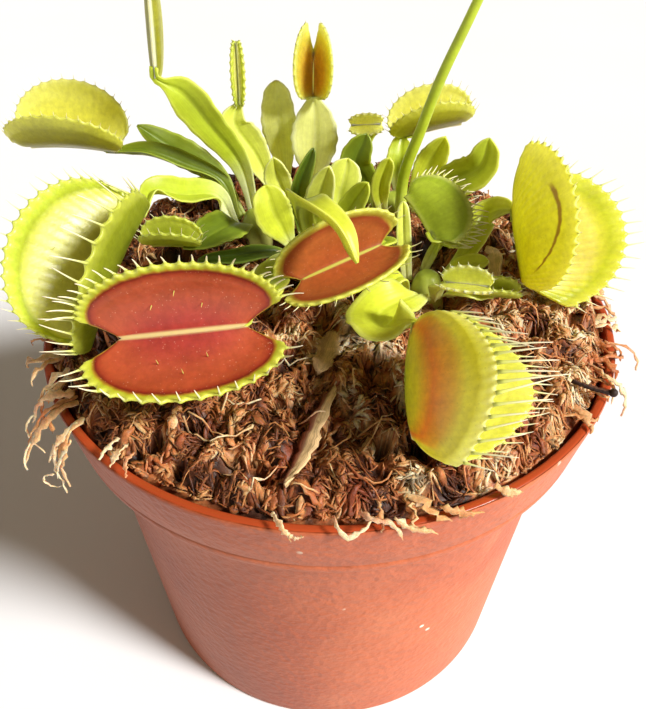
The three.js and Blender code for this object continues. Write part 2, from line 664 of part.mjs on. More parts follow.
// Every leaf by hand: the crown it grows from, the side of the bulb, the way of its stalk and
// blade, and its trap. Leaves with no trap are young blades.
const LEAVES = [
  {
    name: "leaf_front_left_red", crown: "centre", side: 240, colour: "redTrap",
    route: [[-5.8, -2.5, 80.8], [-8.8, -11, 82.2], [-10.8, -19, 84]],
    width: 6.5, fold: 10, face: [0, 0, 1],
    trap: {
      hinge: [[-10.9, -24.4, 85], [-26.3, -25.2, 83.6]], mouth: [0.19, -0.76, 0.61],
      length: 24.8, depth: 10, gape: 55, cup: 17, arch: 0.8, teeth: 14, toothLength: [2.6, 3.3], rows: 3,
    },
  },
  {
    name: "leaf_far_left_open", crown: "left", side: 200, colour: "green",
    route: [[-18.4, 12, 83], [-22.8, 7.8, 85.6], [-27, 4.2, 88.2]],
    width: 5.5, widest: 0.55, fold: 30, face: [-0.1, -0.5, 0.8],
    trap: {
      hinge: [[-28.1, 0.4, 88.8], [-35.6, -16.2, 75.5]], mouth: [-0.52, -0.71, 0.47],
      length: 22, depth: 14.1, gape: 36, cup: 18, arch: 1.5, teeth: 14, toothLength: [2.5, 3.4], rows: 3,
      shift: [1.1, 0.3],
    },
  },
  {
    name: "leaf_back_left_up", crown: "left", side: 163, colour: "deepGreen",
    route: [[-18, 17.6, 82.6], [-24, 18, 85.6], [-30, 18, 88]],
    width: 4, fold: 35, face: [0, -0.3, 1],
    trap: {
      hinge: [[-35.4, 18, 89], [-49.5, 19, 89.4]], mouth: [0, -0.17, 0.98],
      length: 17.5, depth: 10, gape: 32, cup: 18, arch: 1, teeth: 12, toothLength: [1.2, 1.2],
    },
  },
  {
    name: "leaf_tall_closed", crown: "left", side: 98, colour: "green",
    route: [[-14.6, 17.4, 86], [-18.7, 16.4, 93], [-22.6, 15.5, 99]],
    width: 6, widest: 0.72, foot: 1.8, fold: 12, face: [-0.2, -0.9, 0.3],
    trap: {
      hinge: [[-26.2, 15, 101.8], [-25.2, 14, 114.5]], mouth: [-0.05, 1, 0.1],
      length: 14, depth: 4, gape: 13, cup: 12, arch: 0.4, teeth: 8, toothLength: [1.2, 1.2],
    },
  },
  {
    name: "leaf_left_small", crown: "left", side: 240, colour: "green",
    route: [[-15, 7.4, 80.8], [-18.2, 3.2, 81.4]],
    width: 7.5, widest: 0.55, fold: 8, face: [0, -0.3, 1], columns: 4,
    trap: {
      hinge: [[-20.8, 0.2, 81.4], [-27.4, 0.6, 81.4]], mouth: [0.1, -0.3, 1],
      length: 9, depth: 4.4, gape: 24, cup: 14, arch: 0.4, teeth: 7, toothLength: [1.8, 1.8],
    },
  },
  {
    name: "leaf_left_olive", crown: "left", side: 134, colour: "deepGreen",
    route: [[-19.5, 21, 82], [-27, 22.8, 86.3], [-32.5, 23.8, 90]],
    foot: 1.2,
    width: 5.5, widest: 0.6, fold: 20, face: [0.3, -0.6, 0.7], tipWidth: 1.2,
  },
  {
    name: "blade_left_low", crown: "centre", side: 203, colour: "deepGreen",
    route: [[-8.4, 2.2, 78.6], [-14.8, 0.8, 78.6], [-20.5, 0, 78.4]],
    width: 3.4, widest: 0.5, fold: 10, face: [0, -0.2, 1],
  },
  {
    name: "leaf_centre_orange", crown: "centre", side: 320, colour: "orangeTrap",
    route: [[4.4, 0, 80.6], [8.4, -3, 83.8]],
    width: 3.4, widest: 0.5, fold: 10, face: [0, 0, 1],
    trap: {
      hinge: [[6.9, -7.6, 86], [-3.7, -10.9, 82.6]], mouth: [0, -0.74, 0.67],
      length: 18, depth: 8.5, gape: 38, cup: 12, arch: 0.6, teeth: 12, toothLength: [1.6, 1.4],
    },
  },
  {
    name: "blade_centre_round", crown: "centre", side: 160, colour: "green",
    route: [[-7.6, 5.6, 81], [-8.8, 4.6, 84.5], [-9.8, 5.6, 88.5]],
    width: 6, widest: 0.62, fold: 10, face: [0.2, -0.8, 0.5], tipWidth: 3.2, columns: 4,
  },
  {
    name: "blade_centre_folded", crown: "centre", side: 118, colour: "deepGreen",
    route: [[-4.9, 8.6, 82], [-4.8, 8.2, 87], [-2.4, 9, 93]],
    width: 3.6, widest: 0.55, fold: 40, face: [0.3, -0.8, 0.4],
  },
  {
    name: "blade_centre_bright", crown: "centre", side: 78, colour: "paleGreen",
    route: [[-1.9, 7.4, 81.5], [-1.6, 5.6, 86], [0, 4, 92.5]],
    width: 4.4, widest: 0.6, fold: 16, face: [0, -0.8, 0.5], tipWidth: 1.4,
  },
  {
    name: "blade_centre_band", crown: "centre", side: 8, colour: "green",
    route: [[2.4, 5.2, 82], [3.8, 4.4, 86], [5.8, 3.6, 90]],
    width: 4.2, widest: 0.5, fold: 10, face: [-0.2, -0.8, 0.6], tipWidth: 1.6,
  },
  {
    name: "blade_centre_pale", crown: "centre", side: 42, colour: "paleGreen",
    route: [[1.2, 10.4, 82.4], [2.2, 10.8, 86.4], [3, 11.6, 90]],
    width: 6, widest: 0.66, fold: 10, face: [0, -0.8, 0.5], tipWidth: 3, columns: 4,
  },
  {
    name: "blade_centre_arching", crown: "centre", side: 280, colour: "paleGreen",
    route: [[-3.6, -2.6, 85.5], [-4.2, -7.5, 92.8], [-2.6, -12, 95.2], [1.2, -16, 94.2], [3.4, -18.8, 90.6]],
    width: 5, widest: 0.66, fold: 26, face: [0.3, 0.2, 1],
  },
  {
    name: "leaf_front_right_blush", crown: "right", side: 245, colour: "green",
    route: [[12.2, -11.6, 80.4], [7, -16.6, 81.4], [7, -22, 82.8]],
    width: 9, widest: 0.6, fold: 8, wave: 0.9, face: [0, -0.3, 1], columns: 4,
    trap: {
      hinge: [[9.9, -26.1, 86.8], [9.4, -37.6, 78.3]], mouth: [0.9, -0.33, 0.3],
      length: 21.5, depth: 16, gape: 38, cup: 15, arch: -2.1, teeth: 13, toothLength: [2.4, 4], rows: 3,
      shift: [0.6, 2.2],
    },
  },
  {
    name: "leaf_right_centre", crown: "right", side: 95, colour: "green",
    route: [[16.4, 0.4, 80.5], [17.6, 0.2, 83.4]],
    width: 2.6, widest: 0.5, fold: 10, face: [0, 0, 1],
    trap: {
      hinge: [[16.2, -2.6, 84], [12.4, 5, 87.2]], mouth: [0.97, 0.15, 0.05],
      length: 12, depth: 7, gape: 14, cup: 14, arch: 0.6, teeth: 11, toothLength: [1.8, 1.8],
    },
  },
  {
    name: "leaf_far_right_open", crown: "right", side: 35, colour: "green",
    route: [[21.5, 0, 80.6], [24.4, 4.4, 84]],
    width: 4.5, widest: 0.62, fold: 12, face: [-0.2, -0.6, 0.8],
    trap: {
      hinge: [[27.7, 0.5, 87.1], [29.5, -6.3, 78.6]], mouth: [0.81, -0.38, 0.45],
      length: 21, depth: 16.9, gape: 44, cup: 17, arch: -0.3, teeth: 14, toothLength: [3.4, 1.4], rows: 3,
      shift: [-0.3, -3.4],
    },
  },
  {
    name: "leaf_right_small", crown: "right", side: 320, colour: "green",
    route: [[19.6, -8.6, 79.1]],
    width: 3.2, widest: 0.55, fold: 10, face: [0, -0.2, 1],
    trap: {
      hinge: [[22.4, -9.3, 79], [26.6, -9.6, 78.8]], mouth: [0, -0.4, 1],
      length: 6, depth: 3, gape: 24, cup: 12, arch: 0.3, teeth: 6, toothLength: [1, 1],
    },
  },
  {
    name: "leaf_right_bright", crown: "right", side: 285, colour: "paleGreen",
    route: [[15.8, -9.5, 80.6]],
    width: 2.4, widest: 0.5, fold: 10, face: [0, 0, 1],
    trap: {
      hinge: [[16.6, -10.7, 81.8], [22.2, -12.4, 82.2]], mouth: [0, -0.6, 0.9],
      length: 7, depth: 3, gape: 40, cup: 12, arch: 0.3, teeth: 6, toothLength: [1, 1],
    },
  },
  {
    name: "blade_right_toothed", crown: "right", side: 0, colour: "paleGreen",
    route: [[19.8, -4.8, 80.4], [23.5, -5.4, 82]],
    width: 3.6, widest: 0.5, fold: 14, face: [0, -0.4, 1],
  },
  {
    name: "blade_right_narrow", crown: "right", side: 150, colour: "paleGreen",
    route: [[11.4, 0, 82], [11, 1.6, 88]],
    width: 2.2, widest: 0.5, fold: 14, face: [0, -1, 0.3],
  },
  {
    name: "blade_right_tuft", crown: "right", side: 205, colour: "green",
    route: [[10.4, -7, 80.2], [7.4, -11, 80.4]],
    width: 2.6, widest: 0.5, fold: 14, face: [0, -0.2, 1],
  },
  {
    name: "blade_back_right_round", crown: "back_right", side: 335, colour: "green",
    route: [[19.5, 17, 82.5], [24.5, 14.5, 87], [25.5, 14.5, 92]],
    width: 6, widest: 0.6, fold: 12, face: [-0.2, -0.9, 0.4], tipWidth: 2.6,
  },
  {
    name: "leaf_back_right_open", crown: "back_right", side: 70, colour: "green",
    route: [[12.6, 25, 83.5]],
    width: 4.5, widest: 0.55, fold: 12, face: [0, -0.5, 1],
    trap: {
      hinge: [[13.2, 27, 87], [23, 27.5, 89.4]], mouth: [-0.1, -0.1, 1],
      length: 14, depth: 7, gape: 30, cup: 16, arch: 0.6, teeth: 10, toothLength: [1.5, 1.5],
    },
  },
  {
    name: "blade_back_dark_left", crown: "back_right", side: 200, colour: "deepGreen",
    route: [[6.8, 18.4, 81.5], [4.4, 18, 86], [6.2, 18.4, 91]],
    width: 5.5, widest: 0.6, fold: 18, face: [0, -1, 0.3], tipWidth: 2.2,
  },
  {
    name: "blade_back_bright", crown: "back_right", side: 235, colour: "green",
    route: [[8.6, 15.6, 83], [9.8, 14.6, 88.6]],
    width: 3.2, widest: 0.55, fold: 16, face: [0, -1, 0.4], tipWidth: 1.8,
  },
  {
    name: "leaf_back_oval", crown: "back_right", side: 165, colour: "deepGreen",
    route: [[5.8, 23, 84], [6.8, 23, 88.5]],
    width: 2, widest: 0.5, fold: 10, face: [0, -1, 0.3],
    trap: {
      hinge: [[8.6, 23, 90.6], [4, 23, 90.4]], mouth: [0, -0.9, 0.4],
      length: 5.5, depth: 2.3, gape: 46, cup: 12, arch: 0.2, teeth: 5, toothLength: [0.6, 0.6],
    },
  },
  {
    name: "blade_back_yellow", crown: "back_right", side: 30, colour: "paleGreen",
    route: [[17.5, 22, 84], [19.5, 20.5, 89.5]],
    width: 5, widest: 0.6, fold: 12, face: [0, -1, 0.4],
  },
  {
    name: "leaf_back_needle", crown: "back", side: 165, colour: "green",
    route: [[-12.6, 24, 84], [-16, 23, 91]],
    width: 6.5, widest: 0.6, fold: 24, face: [0.2, -0.9, 0.4], columns: 4,
    trap: {
      hinge: [[-14.8, 23, 94.2], [-14.6, 23, 104]], mouth: [0.1, -1, 0.1],
      length: 10.4, depth: 1.3, gape: 50, cup: 10, arch: 0.2, teeth: 8, toothLength: [0.4, 0.4],
    },
  },
  {
    name: "leaf_back_yellow_vee", crown: "back", side: 20, colour: "paleGreen",
    route: [[-2.6, 25, 84], [-2.4, 25.5, 90]],
    width: 8, widest: 0.55, fold: 12, face: [0, -0.9, 0.4], columns: 4,
    trap: {
      hinge: [[-2.6, 26, 94.2], [-2.5, 25, 101]], mouth: [0, -1, 0.2],
      length: 12, depth: 5.2, gape: 36, cup: 10, arch: 0.4, teeth: 8, toothLength: [0.5, 0.5],
      shift: [3, 3],
    },
  },
  {
    name: "blade_back_oval", crown: "back", side: 110, colour: "paleGreen",
    route: [[-8.2, 28, 84], [-8.6, 26.5, 90], [-8.8, 27, 96.5]],
    width: 6, widest: 0.6, fold: 12, face: [0, -0.9, 0.4], tipWidth: 3, columns: 4,
  },
  {
    name: "blade_back_short", crown: "back", side: 270, colour: "green",
    route: [[-8.6, 19.2, 82], [-9.2, 18, 87]],
    width: 4.6, widest: 0.6, fold: 16, face: [0, -0.9, 0.4],
  },
];

// ---------------------------------------------------------------- flower stalk

const STALK = {
  side: 285,
  ring: 3.7, // distance of its foot from the bulb's middle
  route: [[12.6, 16.6, 84.5], [14.6, 16, 92.5], [16.9, 15.5, 101], [21, 15, 112.5], [26, 14.6, 128]],
  footRadius: 1.05,
  tipRadius: 0.62,
  sides: 8,
  steps: 14,
};

const BUD = { length: 5, radius: 1.5, sides: 6, steps: 5, sunk: 0.8 };

// The buds at its tip: how far each leans from the stalk and to which side, in radians
const BUDS = [
  { lean: 0, turn: 0, scale: 1 },
  { lean: 0.9, turn: 0.6, scale: 0.8 },
  { lean: 0.8, turn: 3.4, scale: 0.75 },
];

function makeStalk() {
  const [x, y] = CROWNS.back_right;
  const angle = THREE.MathUtils.degToRad(STALK.side);
  const foot = new THREE.Vector3(
    x + STALK.ring * Math.cos(angle),
    y + STALK.ring * Math.sin(angle),
    CROWN.baseLevel,
  );
  const curve = new THREE.CatmullRomCurve3([foot, ...STALK.route.map(vec)], false, "centripetal");
  const points = [];
  const faces = [];
  const { sides, steps } = STALK;
  for (let i = 0; i <= steps; i += 1) {
    const centre = curve.getPointAt(i / steps);
    const tangent = curve.getTangentAt(i / steps);
    const a = new THREE.Vector3(0, 1, 0).projectOnPlane(tangent).normalize();
    const b = new THREE.Vector3().crossVectors(tangent, a);
    const radius = THREE.MathUtils.lerp(STALK.footRadius, STALK.tipRadius, i / steps);
    for (let k = 0; k < sides; k += 1) {
      const turn = (k / sides) * 2 * Math.PI;
      const p = centre.clone().addScaledVector(a, radius * Math.cos(turn));
      points.push(p.addScaledVector(b, radius * Math.sin(turn)));
    }
  }
  for (let i = 0; i < steps; i += 1) {
    for (let k = 0; k < sides; k += 1) {
      const [p, n] = [i * sides + k, i * sides + ((k + 1) % sides)];
      faces.push(p, n, n + sides, p, n + sides, p + sides);
    }
  }
  for (let k = 1; k < sides - 1; k += 1) {
    faces.push(0, k + 1, k);
    faces.push(steps * sides, steps * sides + k, steps * sides + k + 1);
  }
  const parts = [solidOf(points, faces)];
  const top = curve.getPointAt(1);
  const stalkWay = curve.getTangentAt(1);
  const upright = new THREE.Quaternion().setFromUnitVectors(new THREE.Vector3(0, 1, 0), stalkWay);
  for (const { lean, turn, scale } of BUDS) {
    const profile = [];
    for (let i = 0; i <= BUD.steps; i += 1) {
      const t = i / BUD.steps;
      const atEnd = i === 0 || i === BUD.steps;
      const radius = atEnd ? 0 : BUD.radius * scale * Math.sin(Math.PI * t ** 0.8);
      profile.push(new THREE.Vector2(radius, BUD.length * scale * t));
    }
    const geometry = new THREE.LatheGeometry(profile, BUD.sides);
    geometry.translate(0, -BUD.sunk, 0);
    geometry.rotateX(lean);
    geometry.rotateY(turn);
    geometry.applyQuaternion(upright);
    geometry.translate(top.x, top.y, top.z);
    parts.push(solidOfGeometry(geometry));
  }
  place("flower_stalk", wasm.Manifold.union(parts), "green");
}

// ---------------------------------------------------------------- assembly

makePot();
makeSoil();
makeMoss();
makeBulbs();
LEAVES.forEach(makeLeaf);
makeStalk();

export default plant;
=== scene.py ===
"""Looks of the potted venus flytrap. Sizes are in millimetres unless a name says otherwise, +Z up,
with the origin under the middle of the pot and the front of the plant towards -Y."""

import math
from collections import namedtuple

import bpy
import numpy as np
from mathutils import Matrix, Vector


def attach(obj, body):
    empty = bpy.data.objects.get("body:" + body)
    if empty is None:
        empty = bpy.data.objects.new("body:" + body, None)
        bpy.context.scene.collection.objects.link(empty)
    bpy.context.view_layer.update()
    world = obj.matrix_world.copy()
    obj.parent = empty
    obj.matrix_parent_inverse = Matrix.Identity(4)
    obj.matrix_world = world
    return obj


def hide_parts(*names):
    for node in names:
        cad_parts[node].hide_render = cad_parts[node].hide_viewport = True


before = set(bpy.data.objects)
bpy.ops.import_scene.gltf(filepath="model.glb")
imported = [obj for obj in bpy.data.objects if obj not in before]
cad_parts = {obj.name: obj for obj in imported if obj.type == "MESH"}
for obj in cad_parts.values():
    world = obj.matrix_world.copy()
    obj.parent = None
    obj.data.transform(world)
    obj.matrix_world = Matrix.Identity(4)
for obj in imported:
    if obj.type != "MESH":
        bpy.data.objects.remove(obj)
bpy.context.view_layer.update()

MM = 0.001  # metres in a millimetre
X, Y, UP = np.eye(3)

# --- sizes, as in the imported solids

POT = dict(
    rim=45, height=70, collar=11.3, collar_foot=43, shoulder=39.4, base=35, wall=1.4, floor=2,
    drain=3, drain_ring=22, drain_count=6, bevel=0.8, step=0.9, sides=144,
)
GAP = 0.35  # between the moss and the pot's wall
MOSS = dict(
    bottom=62.35, rim_level=70.6, crown_rise=6.4, right_rise=1.2, back_rise=2.4, lump=1.4,
    lump_size=6, dish=1.8, dish_radius=6, hole=5.4,
)
CROWN = dict(bulb_radius=2.8, bulb_top=79, ring=3.4, level=76.5)
CROWNS = dict(
    left=(-12.5, 14.5), centre=(-2.5, 5), right=(15, -4), back_right=(11.5, 20.5), back=(-6.5, 24),
)
BLADE = dict(foot=1.5, neck=1.3, tip=1.2, steps=44, across=6)
TRAP = dict(
    lobe=0.75, keel=0.55, shoulder=0.3, scallop=0.55, small_scallop=0.3, end=0.04, socket=1.6,
    under=0.325,
)

# --- seeds and counts

SEEDS = dict(patches=3, creases=4, leaves=5, moss=7, strands=12, litter=21)
GROUND_SCALES = 2000
TUFT = dict(scales=5100, flakes=55, fibres=70)

# --- small helpers


def unit(v):
    v = np.asarray(v, float)
    return v / (np.linalg.norm(v, axis=-1, keepdims=True) + 1e-12)


def lerp(a, b, t):
    return a + (b - a) * t


def smooth(t):
    t = np.clip(t, 0, 1)
    return t * t * (3 - 2 * t)


def bell(t, width):
    return np.exp(-((t / width) ** 2))


def colour(red, green, blue):
    """A screen colour from 0 to 255 as Blender's linear one."""
    return (*[c / 12.92 if c < 0.04 else ((c + 0.055) / 1.055) ** 2.4
              for c in (red / 255, green / 255, blue / 255)], 1.0)


def around(count):
    """Angles evenly round a circle."""
    return np.linspace(0, 2 * np.pi, count, endpoint=False)


def crown_edge(crown, ring, degrees):
    """A point on a ring round a crown, at the level that the leaves start from."""
    x, y = CROWNS[crown]
    angle = math.radians(degrees)
    return x + ring * math.cos(angle), y + ring * math.sin(angle), CROWN["level"]


def tube(line, side, up, radius, corners):
    """Rings of corners round the points of lines; the radius is by step and by corner or 1."""
    turn = around(corners)[:, None]
    ring = side[..., None, :] * np.cos(turn) + up[..., None, :] * np.sin(turn)
    return line[..., None, :] + ring * radius[..., None]


def wrapped(upper, lower, rims):
    """Closed loops from an upper and a lower face [step, across] and the rims between them."""
    return np.concatenate([rims[0][:, None], upper, rims[1][:, None], lower[:, ::-1]], 1)


def upper_or_lower(across):
    """1 on the upper or inner face of such loops, 0 on the other and 0.5 on the rims."""
    return np.concatenate([[0.5], np.ones(across), [0.5], np.zeros(across)])


def bands(index):
    """Faces between rings of numbered points, [..., ring, corner]."""
    a, b = index[..., :-1, :], index[..., 1:, :]
    return np.stack([a, np.roll(a, -1, -1), np.roll(b, -1, -1), b], -1).reshape(-1, 4)


def painted(points, red=0.0, green=0.0, blue=0.0, alpha=0.0):
    """What the materials read at each of the points, as four channels."""
    paint = np.empty((*points.shape[:-1], 4))
    for k, channel in enumerate((red, green, blue, alpha)):
        paint[..., k] = channel
    return paint


def add_object(name, data, place=None, target=None):
    """A new object in the scene, which looks from its place to its target where it has them."""
    thing = bpy.data.objects.new(name, data)
    bpy.context.scene.collection.objects.link(thing)
    if target is not None:
        thing.location = place
        thing.rotation_euler = (Vector(target) - Vector(place)).to_track_quat("-Z", "Y").to_euler()
    return thing


class Curve:
    """A centripetal curve through points, read by its share of the way along it."""

    def __init__(self, points):
        pts = [np.asarray(p, float) for p in points]
        pts = [2 * pts[0] - pts[1], *pts, 2 * pts[-1] - pts[-2]]
        t = np.linspace(0, 1, 60, endpoint=False)[:, None]
        fine = []
        for p0, p1, p2, p3 in zip(pts, pts[1:], pts[2:], pts[3:]):
            d0, d1, d2 = [max(np.linalg.norm(b - a) ** 0.5, 1e-4)
                          for a, b in ((p0, p1), (p1, p2), (p2, p3))]
            m1 = ((p1 - p0) / d0 - (p2 - p0) / (d0 + d1) + (p2 - p1) / d1) * d1
            m2 = ((p2 - p1) / d1 - (p3 - p1) / (d1 + d2) + (p3 - p2) / d2) * d1
            square, cube = 3 * (p2 - p1) - 2 * m1 - m2, 2 * (p1 - p2) + m1 + m2
            fine.append(p1 + m1 * t + square * t ** 2 + cube * t ** 3)
        self.fine = np.concatenate([*fine, pts[-2][None]])
        steps = np.linalg.norm(np.diff(self.fine, axis=0), axis=1)
        self.way = np.concatenate([[0], np.cumsum(steps)])
        self.length = self.way[-1]

    def at(self, share):
        way = np.asarray(share, float) * self.length
        return np.stack([np.interp(way, self.way, self.fine[:, k]) for k in range(3)], -1)

    def tangent(self, share):
        return unit(self.at(np.minimum(share + 0.01, 1)) - self.at(np.maximum(share - 0.01, 0)))


class Shape:
    """Points, faces and what the materials read at each point, gathered part by part."""

    def __init__(self):
        self.points, self.faces, self.paint, self.slots, self.count = [], [], [], [], 0

    def add(self, points, faces, paint, slot=0):
        points = np.asarray(points, float).reshape(-1, 3)
        for block in faces:
            self.faces.extend((block + self.count).tolist())
            self.slots.extend([slot] * len(block))
        self.points.append(points)
        self.paint.append(paint.reshape(-1, 4))
        self.count += len(points)

    def tubes(self, loops, paint, slot=0, flat=False):
        """Closed tubes from loops of points, [tube, step, corner, xyz], with both ends closed."""
        loops = np.asarray(loops, float)
        loops = loops.reshape(-1, *loops.shape[-3:])
        many, steps, corners, _ = loops.shape
        index = np.arange(many * steps * corners).reshape(many, steps, corners)
        faces = [bands(index)]
        faces += [block[:, ::-1] for block in self.cap(index[:, 0], flat)]
        faces += self.cap(index[:, -1], flat)
        if not self.facing_out(loops[0]):
            faces = [block[:, ::-1] for block in faces]
        self.add(loops, faces, np.broadcast_to(paint, (many, steps, corners, 4)), slot)

    @staticmethod
    def cap(ring, flat):
        """What closes a ring: one face, or quads from rim to rim where the tube is flat."""
        if not flat:
            return [ring]
        half = ring.shape[1] // 2 - 1
        quads = [ring[:, [1 + j, 2 + j, 2 * half - j, 2 * half + 1 - j]] for j in range(half - 1)]
        return [*quads, ring[:, [0, 1, 2 * half + 1]], ring[:, [half, half + 1, half + 2]]]

    @staticmethod
    def facing_out(loops):
        """Whether the loops run round the way along them so that the faces look outwards."""
        middle = loops.mean(1)
        along = np.diff(middle, axis=0, append=middle[-1:])
        along[-1] = along[-2]
        area = np.cross(loops - middle[:, None], np.roll(loops, -1, 1) - middle[:, None]).sum(1)
        return (area * along).sum() > 0

    def build(self, name, materials):
        mesh = bpy.data.meshes.new(name)
        mesh.from_pydata((np.concatenate(self.points) * MM).tolist(), [], self.faces)
        layer = mesh.color_attributes.new("paint", "FLOAT_COLOR", "POINT")
        layer.data.foreach_set("color", np.concatenate(self.paint).astype(np.float32).ravel())
        for material in materials:
            mesh.materials.append(material)
        mesh.polygons.foreach_set("material_index", np.array(self.slots, np.int32))
        mesh.polygons.foreach_set("use_smooth", np.ones(len(mesh.polygons), bool))
        mesh.validate()
        mesh.update()
        return add_object(name, mesh)


def stand_in(piece, *nodes):
    """The piece replaces these nodes and rides on the part's only body."""
    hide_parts(*nodes)
    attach(piece, "root")


# --- materials


class Wire:
    """A node's output. Sums and products with it add nodes."""

    def __init__(self, graph, socket):
        self.graph, self.socket = graph, socket

    def __add__(self, other):
        return self.graph.math("ADD", self, other)

    def __sub__(self, other):
        return self.graph.math("SUBTRACT", self, other)

    def __rsub__(self, other):
        return self.graph.math("SUBTRACT", other, self)

    def __mul__(self, other):
        return self.graph.math("MULTIPLY", self, other)

    def __abs__(self):
        return self.graph.math("ABSOLUTE", self, 0.0)


class Graph:
    """One material's nodes. Each call adds a node and returns its output."""

    def __init__(self, name):
        self.material = bpy.data.materials.new(name)
        self.material.use_nodes = True
        self.tree = self.material.node_tree

    def put(self, socket, value):
        if isinstance(value, Wire):
            self.tree.links.new(value.socket, socket)
        else:
            socket.default_value = value

    def node(self, kind, inputs, output=0, **settings):
        node = self.tree.nodes.new("ShaderNode" + kind)
        for name, value in settings.items():
            setattr(node, name, value)
        for socket, value in inputs.items():
            self.put(node.inputs[socket], value)
        return Wire(self, node.outputs[output])

    def paint(self):
        """The four numbers that the shape stored at each point."""
        stored = [self.node("Attribute", {}, k, attribute_name="paint") for k in ("Color", "Alpha")]
        split = [self.node("SeparateColor", {0: stored[0]}, k) for k in range(3)]
        return (*split, stored[1])

    def where(self):
        return self.node("TexCoord", {}, "Object")

    def axis(self, letter):
        return self.node("SeparateXYZ", {0: self.where()}, letter)

    def combine(self, x, y, z):
        return self.node("CombineXYZ", {0: x, 1: y, 2: z})

    def math(self, operation, a, b):
        return self.node("Math", {0: a, 1: b}, operation=operation)

    def fit(self, value, low, high, to_low=0.0, to_high=1.0):
        """A smooth step: to_low where the value is low, and to_high where it is high."""
        inputs = dict(enumerate((value, low, high, to_low, to_high)))
        return self.node("MapRange", inputs, interpolation_type="SMOOTHSTEP")

    def noise(self, scale, detail=3.0, vector=None):
        return self.node("TexNoise", {"Vector": vector or self.where(), "Scale": scale,
                                      "Detail": detail, "Roughness": 0.55})

    def fibres(self, detail, across, times_across, along, times_along, third):
        """Noise that is drawn out along the shape."""
        return self.noise(1.0, detail, self.combine(across * times_across, along * times_along, third))

    def cells(self, scale):
        return self.node("TexVoronoi", {"Vector": self.where(), "Scale": scale}, "Distance")

    def ramp(self, value, stops):
        """A colour from stops, each a value and a screen colour."""
        node = self.tree.nodes.new("ShaderNodeValToRGB")
        self.put(node.inputs[0], value)
        elements = node.color_ramp.elements
        while len(elements) < len(stops):
            elements.new(0.5)
        for element, (at, *tint) in zip(elements, stops):
            element.position = at
            element.color = colour(*tint)
        return Wire(self, node.outputs[0])

    def mix(self, factor, a, b, blend="MIX"):
        return self.node("Mix", {0: factor, 6: a, 7: b}, 2, data_type="RGBA", blend_type=blend,
                         clamp_result=False)

    def shade(self, tint, *layers):
        """The colour made darker or lighter by values from 0 to 1: [darkest, lightest, value]."""
        for low, high, value in layers:
            grey = self.fit(value, 0.25, 0.75, low, high)
            tint = self.mix(1.0, tint, self.combine(grey, grey, grey), "MULTIPLY")
        return tint

    def bump(self, *layers):
        """Relief in layers: [height, distance, strength]."""
        under = {}
        for height, distance, strength in layers:
            normal = self.node("Bump", {"Distance": distance * MM, "Strength": strength,
                                        "Height": height, **under})
            under = {"Normal": normal}
        return normal

    def finish(self, tint, roughness, normal=None, **constants):
        inputs = self.tree.nodes["Principled BSDF"].inputs
        self.put(inputs["Base Color"], tint)
        self.put(inputs["Roughness"], roughness)
        if normal:
            self.put(inputs["Normal"], normal)
        for name, value in constants.items():
            inputs[name.replace("_", " ")].default_value = value
        return self.material


def leafy(graph, tint, roughness, normal, glow):
    """Waxy living tissue that lets light through."""
    return graph.finish(
        tint, roughness, normal, Subsurface_Weight=glow, Subsurface_Scale=3 * MM,
        Subsurface_Radius=(1.0, 0.9, 0.2), Specular_IOR_Level=0.45,
    )


GREENS = {
    # main colour, edge, foot, how much light comes through, and where the foot's colour ends
    "bright": ((202, 214, 58), (218, 228, 98), (222, 228, 156), 0.35, 0.34),
    "fresh": ((174, 192, 46), (200, 214, 84), (228, 234, 176), 0.35, 0.42),
    "olive": ((98, 118, 24), (136, 154, 46), (150, 162, 78), 0.35, 0.3),
    # the dark look is painted shade, for blades that lie in the shade of other leaves
    "dark": ((64, 88, 18), (104, 126, 40), (134, 148, 70), 0.3, 0.3),
    "pale": ((222, 232, 96), (234, 240, 146), (234, 238, 160), 0.25, 0.34),
    # the glow look's light colours are painted light, for blades lit from behind
    "glow": ((234, 238, 140), (240, 244, 172), (226, 234, 140), 0.35, 0.34),
    "turned": ((204, 214, 60), (220, 228, 96), (72, 98, 18), 0.35, 0.8),
}


def blade_material(name, look):
    """Stored at each point: distance from the midrib, way along, and upper face or lower."""
    *colours, glow, foot_end = GREENS[look]
    main, edge, foot = [colour(*c) for c in colours]
    graph = Graph(name)
    across, along, face, _ = graph.paint()
    lines = graph.fibres(3, across, 7.0, along, 1.4, face)
    patches = graph.noise(240)
    tint = graph.mix(graph.fit(across, 0.72, 1.0), main, edge)
    tint = graph.mix(graph.fit(across, 0.1, 0.0, 0.0, 0.4), tint, edge)
    tint = graph.mix(graph.fit(along, foot_end, foot_end - 0.3, 0.0, 0.9), tint, foot)
    tint = graph.mix(graph.fit(face, 0.6, 0.2, 0.0, 0.3), tint, edge)
    tint = graph.shade(tint, (0.93, 1.06, lines), (0.88, 1.1, patches),
                       (0.95, 1.05, graph.noise(1500, 2)))
    normal = graph.bump((lines, 0.08, 0.5), (graph.noise(2100, 2), 0.04, 0.5))
    return leafy(graph, tint, graph.fit(patches, 0.3, 0.7, 0.32, 0.46), normal, glow)


